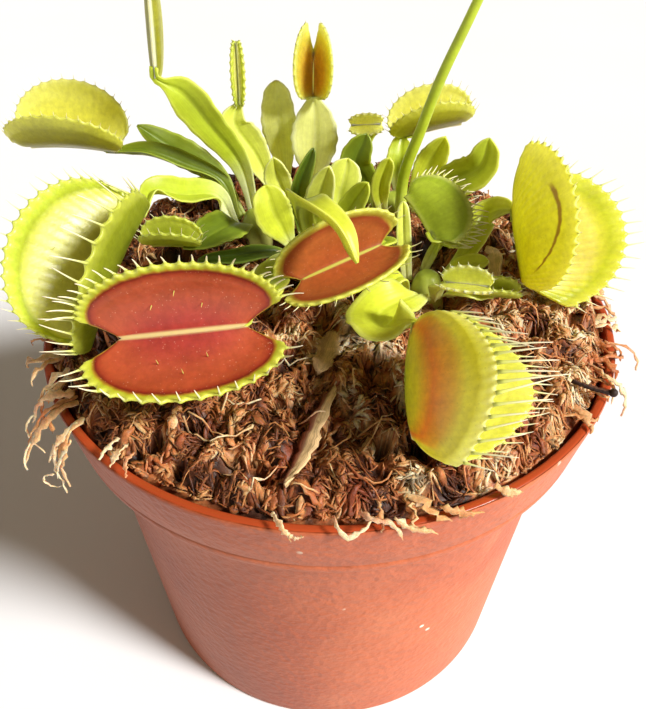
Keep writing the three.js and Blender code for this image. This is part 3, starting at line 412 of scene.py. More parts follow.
# Each trap's colours, as stops from the hinge (0) to the margin (1)
TRAPS = {
    # inside, outside, hinge line, how much light comes through, how many pale specks
    "red": (
        [(0, 160, 52, 46), (0.2, 164, 60, 50), (0.5, 172, 76, 48), (0.78, 170, 74, 42),
         (0.85, 154, 56, 32), (0.895, 116, 26, 16), (0.92, 160, 116, 34), (0.945, 178, 186, 44),
         (1, 208, 214, 84)],
        [(0, 176, 180, 60), (0.6, 174, 182, 44), (1, 204, 208, 60)],
        (216, 196, 134), 0.3, 0.5),
    "orange": (
        [(0, 160, 78, 36), (0.3, 172, 90, 42), (0.66, 178, 100, 48), (0.84, 150, 66, 34),
         (0.92, 190, 176, 60), (1, 222, 226, 100)],
        [(0, 200, 204, 84), (0.5, 204, 192, 70), (1, 220, 220, 84)],
        (196, 196, 84), 0.4, 0.4),
    # blush: the orange band on the outer face is painted light, a red glow as light passes through the
    # lobe
    "blush": (
        [(0, 190, 190, 60), (0.4, 196, 190, 60), (0.7, 206, 206, 70), (1, 222, 226, 90)],
        [(0, 176, 190, 42), (0.28, 196, 188, 46), (0.5, 204, 122, 36), (0.7, 204, 160, 44),
         (0.8, 208, 200, 62), (0.88, 192, 186, 40), (0.93, 240, 234, 96), (1, 250, 244, 140)],
        (236, 232, 180), 0.65, 0.35),
    # open_green: the outer face's dark colours are painted shade, and the pale band inside is a painted
    # highlight
    "open_green": (
        [(0, 150, 148, 44), (0.2, 160, 158, 54), (0.45, 190, 190, 90), (0.68, 212, 212, 118),
         (0.8, 196, 200, 76), (0.86, 160, 174, 40), (0.92, 186, 204, 60), (1, 206, 218, 90)],
        [(0, 118, 128, 30), (0.5, 116, 128, 24), (0.85, 136, 146, 34), (1, 186, 194, 74)],
        (210, 212, 110), 0.5, 0.2),
    "sunlit": (
        [(0, 206, 204, 60), (0.3, 208, 200, 78), (0.72, 212, 200, 92), (0.8, 196, 196, 56),
         (0.88, 178, 188, 42), (1, 206, 212, 80)],
        [(0, 202, 208, 56), (0.5, 206, 206, 56), (0.88, 214, 214, 66), (1, 232, 230, 110)],
        (240, 238, 180), 0.9, 0.2),
    "pale_green": (
        [(0, 222, 224, 120), (0.3, 208, 212, 84), (0.8, 204, 210, 76), (1, 228, 232, 140)],
        [(0, 200, 206, 70), (0.6, 206, 210, 72), (1, 228, 232, 140)],
        (240, 240, 190), 0.8, 0.3),
    "fresh_small": (
        [(0, 150, 160, 40), (0.5, 162, 172, 44), (1, 196, 206, 80)],
        [(0, 150, 164, 40), (0.7, 158, 172, 40), (1, 190, 202, 76)],
        (190, 198, 90), 0.6, 0.2),
    "leafy_small": (
        [(0, 176, 190, 60), (0.6, 190, 204, 76), (1, 214, 224, 120)],
        [(0, 166, 184, 46), (0.7, 172, 192, 56), (0.88, 150, 172, 44), (1, 212, 222, 120)],
        (190, 204, 90), 0.75, 0.2),
    "olive": (
        [(0, 210, 208, 90), (0.3, 206, 202, 70), (0.7, 224, 222, 100), (1, 232, 230, 120)],
        [(0, 150, 150, 34), (0.5, 146, 146, 28), (0.8, 170, 172, 44), (1, 210, 212, 84)],
        (236, 236, 190), 0.7, 0.35),
    "vee": (
        [(0, 160, 110, 30), (0.5, 186, 140, 40), (0.85, 206, 190, 70), (1, 222, 224, 110)],
        [(0, 200, 192, 60), (0.6, 212, 214, 90), (1, 224, 226, 120)],
        (236, 236, 170), 0.8, 0.3),
}


def dry_streak(graph, along, reach, face):
    """A withered streak that bows across the outer face of a lobe."""
    off = along - 0.56
    away = abs(reach - 0.84 + off * (off * 2.6 + 0.5))
    streak = graph.fit(away, 0.03, 0.008) * graph.fit(face, 0.5, 0.1)
    return streak * graph.fit(abs(off), 0.23, 0.17, 0.0, 0.9)


def trap_material(name, look):
    """Stored at each point: middle to outline, way along, inner face or outer, and hinge line."""
    inner, outer, line, glow, specks = TRAPS[look]
    graph = Graph(name)
    reach, along, face, hinge = graph.paint()
    streaks = graph.fibres(4, along, 34.0, reach, 2.4, face)
    patches = graph.noise(170)
    shifted = reach + (graph.noise(420, 2) - 0.5) * 0.05
    tint = graph.mix(graph.fit(face, 0.3, 0.7), graph.ramp(shifted, outer), graph.ramp(shifted, inner))
    tint = graph.shade(tint, (0.94, 1.06, streaks), (0.86, 1.12, patches),
                       (0.9, 1.08, graph.noise(1300, 2)))
    dots = graph.fit(graph.cells(2300), 0.24, 0.12, 0.0, specks)
    dots = dots * graph.fit(graph.noise(900, 1), 0.5, 0.62) * graph.fit(face, 0.5, 0.9)
    tint = graph.mix(dots, tint, graph.mix(0.5, tint, colour(244, 210, 180)))
    pores = graph.fit(graph.cells(1700), 0.2, 0.1) * graph.fit(face, 0.5, 0.1, 0, 0.3)
    tint = graph.mix(pores, tint, graph.mix(0.6, tint, colour(90, 90, 20)))
    tint = graph.mix(graph.fit(hinge, 0.15, 0.75, 0.0, 0.9), tint, colour(*line))
    if look == "sunlit":
        tint = graph.mix(dry_streak(graph, along, shifted, face), tint, colour(112, 66, 22))
    normal = graph.bump((streaks, 0.05, 0.5), (graph.noise(1900, 2), 0.06, 0.6))
    return leafy(graph, tint, graph.fit(patches, 0.3, 0.7, 0.3, 0.42), normal, glow)


def hair_material():
    """Stored at each point: the way along the lobe and the way from a hair's root to its tip."""
    graph = Graph("trap_hairs")
    tint = graph.ramp(graph.paint()[3], [(0, 206, 214, 84), (0.18, 222, 226, 130),
                                         (0.5, 236, 232, 186), (1, 240, 226, 200)])
    return graph.finish(tint, 0.35, Specular_IOR_Level=0.5)


# Painted light and shade on the pot: the side away from the light is painted darker, and the side
# towards it lighter
PAINTED_SHADE_SIDE, PAINTED_LIGHT_SIDE = (0.66, 0.6, 0.46, 1), (1.16, 1.2, 1.2, 1)


def pot_material():
    """Stored at each point: the glossy lip, and the pot's inside, which is painted darker as shade."""
    graph = Graph("pot_terracotta_plastic")
    lip, inside, _, _ = graph.paint()
    cloud = graph.noise(34, 4)
    tint = graph.mix(graph.fit(cloud, 0.3, 0.7), colour(174, 85, 52), colour(190, 101, 64))
    tint = graph.shade(tint, (0.93, 1.05, graph.noise(520)))
    bloom = graph.fit(graph.noise(90, 5), 0.52, 0.8) * 0.4
    tint = graph.mix(bloom, tint, colour(206, 126, 88))
    dust = graph.fit(graph.cells(150), 0.075, 0.05) * graph.fit(graph.noise(70, 1), 0.62, 0.66)
    tint = graph.mix(dust, tint, colour(232, 214, 196))
    # painted shade on the left, away from the sun, and painted light on the right
    painted_side_light = graph.mix(graph.fit(graph.axis("X"), -0.036, 0.03), PAINTED_SHADE_SIDE, PAINTED_LIGHT_SIDE)
    tint = graph.mix(1.0, tint, painted_side_light, "MULTIPLY")
    tint = graph.mix(lip, tint, graph.shade(colour(172, 70, 34), (0.9, 1.1, cloud)))
    # painted shade: the pot's inside is darker
    tint = graph.mix(inside, tint, colour(120, 58, 34))
    normal = graph.bump((graph.cells(700) * (1.0 - lip), 0.2, 0.7),
                        (graph.noise(900) * (1.0 - lip), 0.4, 0.6))
    rough = graph.mix(lip, (0.5, 0.5, 0.5, 1), (0.24, 0.24, 0.24, 1))
    return graph.finish(tint, rough, normal, Specular_IOR_Level=0.4)


def moss_material():
    """Stored at each point: how light the flake is, its way along, its depth, which sets painted shade,
    and its own draw.
    """
    graph = Graph("dried_sphagnum")
    tone, along, depth, own = graph.paint()
    fibre = graph.fibres(3, own, 60.0, along, 3.0, tone)
    value = tone + (fibre - 0.5) * 0.3 + (graph.noise(150) - 0.5) * 0.9
    tint = graph.ramp(value, [(0, 70, 34, 18), (0.2, 134, 74, 40), (0.42, 180, 112, 64),
                              (0.62, 206, 148, 94), (0.8, 226, 182, 132), (1, 244, 218, 178)])
    rust = graph.fit(graph.noise(120), 0.52, 0.68, 0.0, 0.6)
    tint = graph.mix(rust, tint, graph.shade(colour(184, 86, 46), (0.6, 1.25, value)))
    tint = graph.shade(tint, (0.78, 1.18, graph.noise(1500)), (0.86, 1.12, graph.noise(3600, 2)))
    # painted shade: near-black where the depth is low, in creases, hollows and under other flakes
    tint = graph.mix(graph.fit(depth, 0.0, 0.5, 0.8, 0.0), tint, colour(24, 12, 7))
    normal = graph.bump((fibre, 0.12, 0.6), (graph.noise(2200), 0.16, 0.7))
    return graph.finish(tint, 0.5, normal, Subsurface_Weight=0.5, Subsurface_Scale=0.4 * MM,
                        Subsurface_Radius=(1.0, 0.55, 0.3), Specular_IOR_Level=0.35)


def dry_material(name, light, dark, pitch=1.0):
    """Stored at each point: across, along, and how dark the strip is there."""
    graph = Graph(name)
    across, along, darkness, _ = graph.paint()
    fibre = graph.fibres(4, across, 14.0, along, 2.5 * pitch, 0.3)
    tint = graph.mix(darkness, colour(*light), colour(*dark))
    tint = graph.shade(tint, (0.7, 1.2, fibre), (0.8, 1.15, graph.noise(700)))
    return graph.finish(tint, 0.6, graph.bump((fibre, 0.2, 0.8)), Specular_IOR_Level=0.35)


def soil_material():
    graph = Graph("moist_peat")
    grain = graph.noise(900, 5)
    tint = graph.ramp(grain, [(0.3, 24, 15, 10), (0.55, 58, 38, 26), (0.75, 104, 72, 48)])
    tint = graph.shade(tint, (0.7, 1.2, graph.noise(150)))
    return graph.finish(tint, 0.92, graph.bump((graph.cells(480), 1.0, 0.9), (grain, 0.5, 0.8)))


def bulb_material():
    graph = Graph("pale_bulb")
    tint = graph.ramp(graph.paint()[1], [(0, 120, 84, 50), (0.4, 206, 198, 134),
                                         (0.7, 186, 192, 90), (1, 160, 176, 60)])
    tint = graph.shade(tint, (0.82, 1.1, graph.noise(600)))
    return leafy(graph, tint, 0.42, graph.bump((graph.noise(500), 0.3, 0.6)), 0.0)


def floor_material():
    graph = Graph("plain_floor")
    tint = graph.shade(colour(240, 242, 247), (0.985, 1.01, graph.noise(9, 2)))
    return graph.finish(tint, 0.6, graph.bump((graph.noise(60, 2), 0.05, 0.2)))


# --- pot and soil


def lip_inside(z):
    share = (z - (POT["height"] - POT["collar"])) / POT["collar"]
    return lerp(POT["collar_foot"], POT["rim"], share) - POT["wall"]


EDGE = lip_inside(POT["height"])  # the pot's inner radius at its top


def arc(centre, radius, start, end, steps):
    """Points of an arc in the [radius, height] plane, angles in degrees."""
    angles = np.radians(np.linspace(start, end, steps))
    return [(centre[0] + radius * math.cos(a), centre[1] + radius * math.sin(a)) for a in angles]


def turned(profile, paint):
    """A closed turned body from [radius, height] points that start and end on the axis."""
    sides = POT["sides"]
    rings = np.array(profile[1:-1], float)
    body = tube(rings[:, 1:] * UP, X, Y, rings[:, :1], sides)
    points = np.concatenate([body.reshape(-1, 3), [profile[0][1] * UP, profile[-1][1] * UP]])
    index = np.arange(len(rings) * sides).reshape(-1, sides)
    first = np.stack([np.roll(index[0], -1), index[0], np.full(sides, len(points) - 2)], -1)
    last = np.stack([index[-1], np.roll(index[-1], -1), np.full(sides, len(points) - 1)], -1)
    paints = np.concatenate([np.repeat(paint[1:-1], sides, 0), paint[:1], paint[-1:]])
    return points, [bands(index), first, last], paints


def pot_profile():
    """[radius, height] points in three runs: up the outside, over the lip and down the inside."""
    top, wall, floor, bevel = POT["height"], POT["wall"], POT["floor"], POT["bevel"]
    rim, collar, shoulder, base = POT["rim"], POT["collar_foot"], POT["shoulder"], POT["base"]
    foot, step = top - POT["collar"], POT["step"]
    outer, inner, flat = 0.55, 0.45, 20  # radii of the lip's edges, and where the floor is flat to
    slope = (rim - collar) / POT["collar"]
    outside = [
        (0, 0), (flat, 0), *arc((base - bevel, bevel), bevel, -90, -6, 6),
        (lerp(base, shoulder, 0.35), foot * 0.36), (lerp(base, shoulder, 0.7), foot * 0.7),
        (shoulder - 0.05, foot - step - 0.4), (shoulder + 0.25, foot - step + 0.1),
        (collar - 0.7, foot - 0.45), (collar - 0.15, foot - 0.1), (collar + 0.05, foot + 0.35),
        (collar + 1.5 * slope, foot + 1.5), (collar + 1.62 * slope - 0.16, foot + 1.7),
        (collar + 2.1 * slope, foot + 2.1), (collar + 6 * slope, foot + 6), (rim - 0.16, top - 1.3),
    ]
    lip = arc((rim - outer, top - outer), outer, 0, 90, 6)
    lip += arc((rim - wall + inner, top - inner), inner, 90, 180, 5)
    inside = [
        (lip_inside(top - 3), top - 3), (lip_inside(foot + step), foot + step),
        (shoulder - wall, foot), (lerp(base, shoulder, 0.5) - wall, foot * 0.5),
        (base - wall, floor), (flat, floor), (0, floor),
    ]
    return outside, lip, inside


def make_pot():
    outside, lip, inside = pot_profile()
    lip_start, inside_start = len(outside), len(outside) + len(lip)
    paint = np.zeros((inside_start + len(inside), 4))
    paint[lip_start + 3:inside_start + 1, 0] = 1
    # mark the inside for its painted shade
    paint[inside_start:, 1] = 1
    shape = Shape()
    shape.add(*turned(outside + lip + inside, paint))
    pot = shape.build("nursery_pot", [pot_material()])

    cutters, corners = Shape(), 24
    for k in range(POT["drain_count"]):
        angle = (k + 0.5) / POT["drain_count"] * 2 * math.pi
        middle = POT["drain_ring"] * (X * math.cos(angle) + Y * math.sin(angle))
        ends = middle + UP * np.array([[-1.0], [POT["floor"] + 1]])
        cutters.tubes(tube(ends, X, Y, np.array([POT["drain"]]), corners), np.zeros(4))
    cutter = cutters.build("drain_holes", [])
    cut = pot.modifiers.new("drain", "BOOLEAN")
    cut.object = cutter
    cut.solver = "EXACT"
    done = bpy.data.meshes.new_from_object(pot.evaluated_get(bpy.context.evaluated_depsgraph_get()))
    pot.modifiers.clear()
    pot.data = done
    bpy.data.objects.remove(cutter)
    stand_in(pot, "pot")


# --- moss


def clumps(x, y):
    k = 2 * math.pi / MOSS["lump_size"]
    a = np.sin(k * (0.9 * x + 0.35 * y) + 2 * np.sin(0.11 * y))
    b = np.sin(k * (0.8 * y - 0.45 * x) + 2 * np.sin(0.13 * x + 1))
    c = np.sin(k * 0.47 * (x + y) + 0.7) * np.sin(k * 0.41 * (x - y) + 2.1)
    return 0.4 * a + 0.35 * b + 0.5 * c


def moss_level(x, y):
    """Height of the cushion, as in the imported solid."""
    share = np.minimum(1, np.hypot(x, y) / POT["rim"])
    level = MOSS["rim_level"] + MOSS["crown_rise"] * (1 - share * share)
    level = level + MOSS["back_rise"] * smooth(y / POT["rim"])
    level = level + MOSS["right_rise"] * smooth(x / POT["rim"])
    dip = 0
    for cx, cy in CROWNS.values():
        apart = np.hypot(x - cx, y - cy) / MOSS["dish_radius"]
        dip = np.maximum(dip, MOSS["dish"] * np.exp(-(apart ** 4) / 4))
    return level - dip + MOSS["lump"] * clumps(x, y) * (1 - 0.4 * share)


# Hollows in the moss, dark with painted shade: [x, y, radius]. The wide ones lie under the leaves, where
# it stands for their shadow.
HOLLOWS = [
    (-31, -29, 1.1), (-25.5, -33, 1.2), (-22.5, -32, 1.2), (-12.5, -36, 1.5), (-9.5, -37, 1.5),
    (11, -33.5, 1.6), (6.5, -34, 1.1), (-19, -36, 1.0),
    (-1, -29, 1.2), (25, -38, 1.2), (-6, -21.5, 1.1), (33, -31, 1.1), (30, -12, 1.3),
    (36, -17, 1.2), (-19, -30.5, 1.1), (-17, -7, 5.5), (-31, -14, 3.5), (-26, 4, 4), (-8, 12, 4),
    (4, 10, 5), (16, 8, 4), (8, -6, 2), (17, -12, 1.6), (-14, 24, 3), (2, 26, 3),
]


def hollow(x, y):
    """From 0 on open moss to 1 in the middle of a hollow, where the moss sinks and takes painted shade.
    """
    deep = np.zeros(np.shape(x))
    for hx, hy, radius in HOLLOWS:
        deep = np.maximum(deep, np.exp(-((np.hypot(x - hx, y - hy) / (1.1 * radius)) ** 4)))
    return deep


class Rough:
    """Smooth seeded unevenness over the plane, from waves in many directions."""

    def __init__(self, seed, waves=11):
        random = np.random.default_rng(seed)
        self.turns, self.phases = random.uniform(0, 2 * np.pi, (2, waves))
        self.pitch = random.uniform(0.7, 1.4, waves)

    def __call__(self, x, y, size):
        total = 0
        for turn, phase, pitch in zip(self.turns, self.phases, self.pitch):
            way = np.asarray(x) * math.cos(turn) + np.asarray(y) * math.sin(turn)
            total = total + np.sin(2 * np.pi * pitch / size * way + phase)
        return total / math.sqrt(len(self.turns) / 2)


ROUGH, FINE = Rough(SEEDS["patches"]), Rough(SEEDS["creases"])


def under_litter(x, y):
    """1 right under the dead leaves, which press the moss down, and 0 away from them."""
    pressed = np.zeros(np.shape(x))
    for strip in LITTER[:3]:
        for px, py, _ in Curve(strip["route"]).at(np.linspace(0, 1, 12)):
            pressed = np.maximum(pressed, np.exp(-((x - px) ** 2 + (y - py) ** 2) / 3.6))
    return pressed


def moss_surface(x, y):
    """The cushion's height: soft lumps with narrow creases between them, and the hollows."""
    lumps = 0.6 * ROUGH(x, y, 7.0) + 0.75 * np.minimum(np.abs(FINE(x, y, 5.5)), 1.1)
    lumps = lumps + 0.3 * np.minimum(np.abs(ROUGH(x, y, 2.6)), 1.0)
    level = moss_level(x, y) + lumps - 0.4 - 3.0 * hollow(x, y) - 0.9 * under_litter(x, y)
    return lerp(level, POT["height"] + 0.2, smooth((np.hypot(x, y) - EDGE + GAP + 2.8) / 2.4))


def crease(x, y):
    """From 0 on a lump to 1 in the creases round it, which take painted shade."""
    wide, narrow = np.abs(FINE(x, y, 5.5)) / 0.3, np.abs(ROUGH(x, y, 2.6)) / 0.22
    return np.maximum(np.exp(-wide ** 2), 0.6 * np.exp(-narrow ** 2))


def moss_tone(x, y):
    """How light the moss is there: patches, painted light over the shaded middle, and a painted light
    side towards the sun.
    """
    patch = 0.24 * ROUGH(x, y, 8.0) + 0.13 * FINE(x, y, 3.1)
    # painted light: lighter in the middle, where the leaves shade the moss, and paler on the right,
    # towards the sun
    middle = 0.34 * np.exp(-(((x - 6) / 16) ** 2) - ((y + 15) / 12) ** 2)
    return 0.27 + patch + middle + 0.27 * smooth((x - 2) / 30)


def make_cushion(shape):
    """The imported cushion, finer and a little lower, for the flakes to lie on."""
    sides, rings = 300, 118
    turn = around(sides)
    edge = EDGE - GAP
    radii = np.linspace(edge - 0.5, 0.5, rings)[:, None]
    x, y = radii * np.cos(turn), radii * np.sin(turn)
    z = moss_surface(x, y) - 0.5 - 0.25 * np.abs(FINE(x, y, 1.2))
    z[0] = POT["height"] - 0.4
    bottom, low = MOSS["bottom"], lip_inside(MOSS["bottom"]) - GAP
    wall = np.array([(0.5, bottom), (low, bottom), (edge - 0.1, POT["height"] - 2.4)])
    walls = tube(wall[:, 1:] * UP, X, Y, wall[:, :1], sides)
    loops = np.concatenate([walls, np.stack([x, y, z], -1)])
    paint = painted(loops, 0.42, 0, 0.3, 0.5)
    paint[3:, :, 0] = moss_tone(x, y) - 0.12
    # painted shade in the creases and hollows
    paint[3:, :, 2] = 0.55 * (1 - crease(x, y)) * (1 - hollow(x, y))
    shape.tubes(loops, paint)


# Where the corners of a flake's section lie: across from -1 to 1, and up or down
FLAKE = np.array([[-1, 0], [-0.45, 1], [0.45, 1], [1, 0], [0.45, -0.7], [-0.45, -0.7]])
SCALE = np.array([[-1, 0], [0, 1], [1, 0], [0, -0.7]])


def add_flakes(shape, random, centre, side, up, half, tone, depth, thick=0.13, crumple=0.12, cup=0.0,
               section=FLAKE):
    """Thin closed torn flakes along centre lines [flake, step, xyz], half their width at each step."""
    many, steps = centre.shape[:2]
    across, level = section.T
    left, right = random.uniform(0.45, 1.3, (2, many, steps, 1))
    wide = half[..., None] * across * np.where(across < 0, left, right)
    left, right = random.normal(0, crumple, (2, many, steps, 1))
    curl = np.reshape(cup, (-1, 1, 1)) * half[..., None] * np.abs(across) ** 1.5
    tall = level * thick + left * (0.5 + 0.5 * across) + right * (0.5 - 0.5 * across) + curl
    loops = centre[:, :, None] + side[:, :, None] * wide[..., None] + up[:, :, None] * tall[..., None]
    shape.tubes(loops, painted(
        loops, tone[:, None, None] + 0.14 * np.abs(across) - 0.05,
        np.linspace(0, 1, steps)[:, None], depth[..., None], random.random((many, 1, 1))))


def frames(centre, roll):
    """Side and up directions along centre lines, rolled about the way by the given angles."""
    along = unit(np.gradient(centre, axis=1))
    flat = unit(np.cross(along, UP + np.array([0.01, 0.013, 0])))
    over = np.cross(flat, along)
    side = flat * np.cos(roll)[..., None] + over * np.sin(roll)[..., None]
    return side, np.cross(side, along)


def walk(x, y, way, length, reach):
    """The ways over the moss from each x and y, kept within a reach of the pot's middle."""
    step = length / (way.shape[1] - 1)
    x = x[:, None] + np.cumsum(np.cos(way) * step, 1) - np.cos(way[:, :1]) * step
    y = y[:, None] + np.cumsum(np.sin(way) * step, 1) - np.sin(way[:, :1]) * step
    keep = np.minimum(1, reach / np.hypot(x, y))
    return x * keep, y * keep


def lay_flakes(shape, random, x, y, heading, length, width, lift, arch, tone, roll=0.35):
    """Curled flakes that start at each x and y and lie along the cushion."""
    many = len(x)
    t = np.linspace(0, 1, 7)
    draw = lambda low, high: random.uniform(low, high, (many, 1))
    way = heading[:, None] + draw(-0.8, 0.8) * t + 0.3 * np.sin(draw(0, 6.3) + 6 * t)
    px, py = walk(x, y, way, length[:, None], EDGE - 0.9)
    rise = np.sin(np.pi * np.clip(0.12 + 0.85 * t * draw(0.8, 1.15), 0, 1))
    pz = moss_surface(px, py) - 0.5 + lift[:, None] * (1 - 0.75 * t) + arch[:, None] * rise
    centre = np.stack([px, py, pz], -1)
    side, up = frames(centre, draw(-roll, roll) + draw(-roll, roll) * 1.3 * t)
    grow = np.sin(np.pi * np.clip(0.1 + 0.86 * t, 0, 1) ** draw(0.9, 1.8)) ** 0.75
    # painted shade: flakes low down and in hollows are darker
    depth = (1 - 0.85 * hollow(px, py)) * np.clip(0.4 + 0.5 * lift[:, None] + rise * 0.5, 0, 1)
    add_flakes(shape, random, centre, side, up, 0.5 * width[:, None] * grow, tone, depth,
               cup=random.uniform(-0.6, 0.2, many))


def open_places(random, count):
    """Random places on the moss, clear of the holes that the leaves grow from."""
    places = []
    while len(places) < count:
        r, a = (EDGE - 1.5) * math.sqrt(random.random()), 2 * math.pi * random.random()
        x, y = r * math.cos(a), r * math.sin(a)
        clear = all(math.hypot(x - cx, y - cy) > MOSS["hole"] - 1.2 for cx, cy in CROWNS.values())
        if clear and random.random() > 0.9 * float(hollow(x, y)):
            places.append((x, y))
    return np.array(places).T


def make_flakes(shape, random, count):
    """Loose torn flakes that lie on the cushion."""
    x, y = open_places(random, count)
    draw = lambda low, high: random.uniform(low, high, count)
    lay_flakes(shape, random, x, y, draw(0, 2 * np.pi), draw(1.6, 4.6), draw(0.6, 1.8), draw(0, 0.6),
               draw(0, 0.5), np.clip(moss_tone(x, y) + 0.08, 0.05, 1))


def make_fibres(shape, random, count):
    """Long thin flakes that arch over the others."""
    draw = lambda low, high: random.uniform(low, high, count)
    lay_flakes(shape, random, *open_places(random, count), draw(0, 6.28), draw(2.5, 7),
               draw(0.16, 0.36), draw(0.4, 1.2), draw(0.2, 0.9), draw(0.35, 1), 0.8)


def make_scales(shape, random, count):
    """The small scale leaves that cover the strands of moss, lying along them like shingles."""
    t = np.linspace(0, 1, 5)
    edge = EDGE - 0.5
    radius, turn = edge * np.sqrt(random.random(count)), random.uniform(0, 2 * np.pi, count)
    x, y = radius * np.cos(turn), radius * np.sin(turn)
    keep = random.random(count) > 1.3 * hollow(x, y) - 0.1
    x, y = x[keep], y[keep]
    many = len(x)
    draw = lambda low, high: random.uniform(low, high, (many, 1))
    heading = 2.2 * ROUGH(x, y, 13.0) + 1.1 * FINE(x, y, 6.0) + random.normal(0, 0.6, many)
    way = heading[:, None] + draw(-0.5, 0.5) * t
    px, py = walk(x, y, way, draw(1.0, 2.9), edge)
    lift = draw(0.0, 0.65) ** 1.3
    pz = moss_surface(px, py) - 0.45 + lift * t ** 0.8 + draw(0.0, 0.25) * np.sin(np.pi * t)
    centre = np.stack([px, py, pz], -1)
    side, up = frames(centre, draw(-0.5, 0.5) + draw(-0.4, 0.4) * t)
    half = 0.5 * draw(0.25, 0.62) * random.choice([1.0, 1.0, 1.0, 2.4], (many, 1))
    half = half * np.sin(np.pi * (0.14 + 0.84 * t)) ** 0.8
    # painted light and shade: scales that stand up are lighter, and those in creases and hollows darker
    tone = np.clip(moss_tone(x, y) + random.normal(0, 0.07, many) + 0.15 * lift[:, 0], 0.03, 1)
    depth = (1 - crease(px, py)) * (1 - hollow(px, py)) * 0.6 + 0.5 * lift * t
    add_flakes(shape, random, centre, side, up, half, tone, np.clip(depth, 0, 1), 0.07, 0.04,
               random.uniform(-0.5, 0.3, many), SCALE)


# Torn strands that hang over the rim: [width, tone, points]
SHREDS = [
    (1.7, 0.78, [(-34.5, -24.5, 71.8), (-37.5, -26, 71.2), (-40, -27.4, 68.6), (-41.6, -28, 66),
                 (-43, -28.4, 62.8)]),
    (1.0, 0.6, [(-34.8, -23.6, 72), (-38.4, -25.4, 71.2), (-41, -26.6, 68.2), (-42.4, -27.4, 65)]),
    (0.7, 0.95, [(-37.6, -26.2, 70.8), (-40.6, -27.6, 67.8), (-42.4, -28.4, 65), (-42.6, -28.9, 62.6)]),
    (1.8, 0.7, [(-33, -27.6, 71.8), (-34.8, -29.8, 71.2), (-36, -30.8, 68.2), (-36.6, -30.8, 65.6),
                (-35.8, -31.6, 62.4)]),
    (1.2, 0.9, [(-33.6, -28.6, 71.8), (-35.6, -30.4, 70.8), (-37.4, -30.6, 68), (-38.2, -30.4, 66)]),
    (1.0, 0.95, [(-34.4, -30.4, 70.4), (-36.4, -31.4, 67), (-37.2, -31, 64.6), (-37.6, -30.9, 63.2)]),
    (0.8, 0.9, [(-35.4, -29.4, 70.6), (-37.4, -30.4, 67), (-37.4, -30.8, 64), (-36.6, -31.2, 60.6)]),
    (1.6, 0.86, [(-35, -24, 72.8), (-38.2, -24.6, 73), (-40.6, -24.8, 70.6), (-41.4, -24.8, 68)]),
    (0.4, 1.0, [(-40.6, -24.8, 70), (-42.6, -25, 67.4), (-42.2, -25.6, 65.2), (-40.2, -26.6, 63.8)]),
    (0.4, 1.0, [(-37.8, -31, 64.2), (-39.4, -30.6, 63.4), (-39.8, -30.4, 61.8), (-38.4, -30.6, 61),
                (-37.2, -31, 61.8)]),
    (1.6, 0.8, [(-26, -33, 72.2), (-26.8, -34.8, 72.6), (-27.6, -36.3, 71.7)]),
    (1.1, 0.95, [(-27.6, -31.8, 72.3), (-28.6, -33.8, 72.5), (-29.4, -34.9, 71.6)]),
    (1.0, 0.7, [(-25, -34.4, 72.2), (-25.6, -36, 72.4), (-25.4, -37.6, 71.3)]),
    (0.8, 0.95, [(-7, -43.2, 71.6), (-6, -44.8, 71.6), (-5.2, -45.8, 70.9), (-4.7, -46.1, 69.9)]),
    (0.6, 1.0, [(-5.2, -45.6, 70.9), (-4.2, -46.1, 70.6), (-3.2, -46.1, 70.9)]),
    (0.7, 0.95, [(0.3, -43.6, 71.6), (0.8, -45.4, 71.6), (1.8, -46.1, 70.9), (3, -46, 71.3),
                 (4.2, -45.5, 72.1), (4.9, -44.4, 72.5)]),
    (1.0, 0.95, [(3.3, -43.4, 72.2), (4.6, -44.9, 72.6), (6.8, -45.3, 72.4), (7.9, -45.8, 71.4),
                 (8.4, -46.1, 70.2)]),
    (0.9, 0.9, [(7.4, -44.4, 72.2), (9.4, -45.2, 71.2), (11.3, -45.3, 70.9), (12.6, -45.2, 70.2)]),
    (1.1, 0.7, [(13, -42.6, 72), (14.6, -43.2, 71.9), (16.6, -43, 71.2), (18.4, -42.4, 70.7)]),
    (1.4, 0.75, [(20, -39.4, 72), (21.6, -40.2, 71.6), (23.6, -39.6, 71)]),
    (1.3, 0.9, [(38.6, -20, 72.6), (40.6, -21.4, 72), (41.8, -22.4, 69.6), (41.6, -22.8, 67.2)]),
    (1.0, 0.8, [(40.6, -13, 72.8), (43.6, -14.2, 72.8), (45.4, -14.8, 70.8), (45.6, -15, 69)]),
]

# Flakes along the rim: [direction and spread in degrees, flakes, how far out, how far down]
RIM_FLAKES = [
    (203, 14, 7, 2.4, 3.4), (281, 10, 4, 0.6, 0.7), (326, 20, 4, 0.4, 0.4), (344, 18, 8, 0.9, 0.9),
    (6, 22, 8, 0.9, 0.9), (165, 24, 6, 0.9, 1.2), (110, 60, 8, 0.8, 1.0), (40, 40, 7, 0.8, 1.0),
]


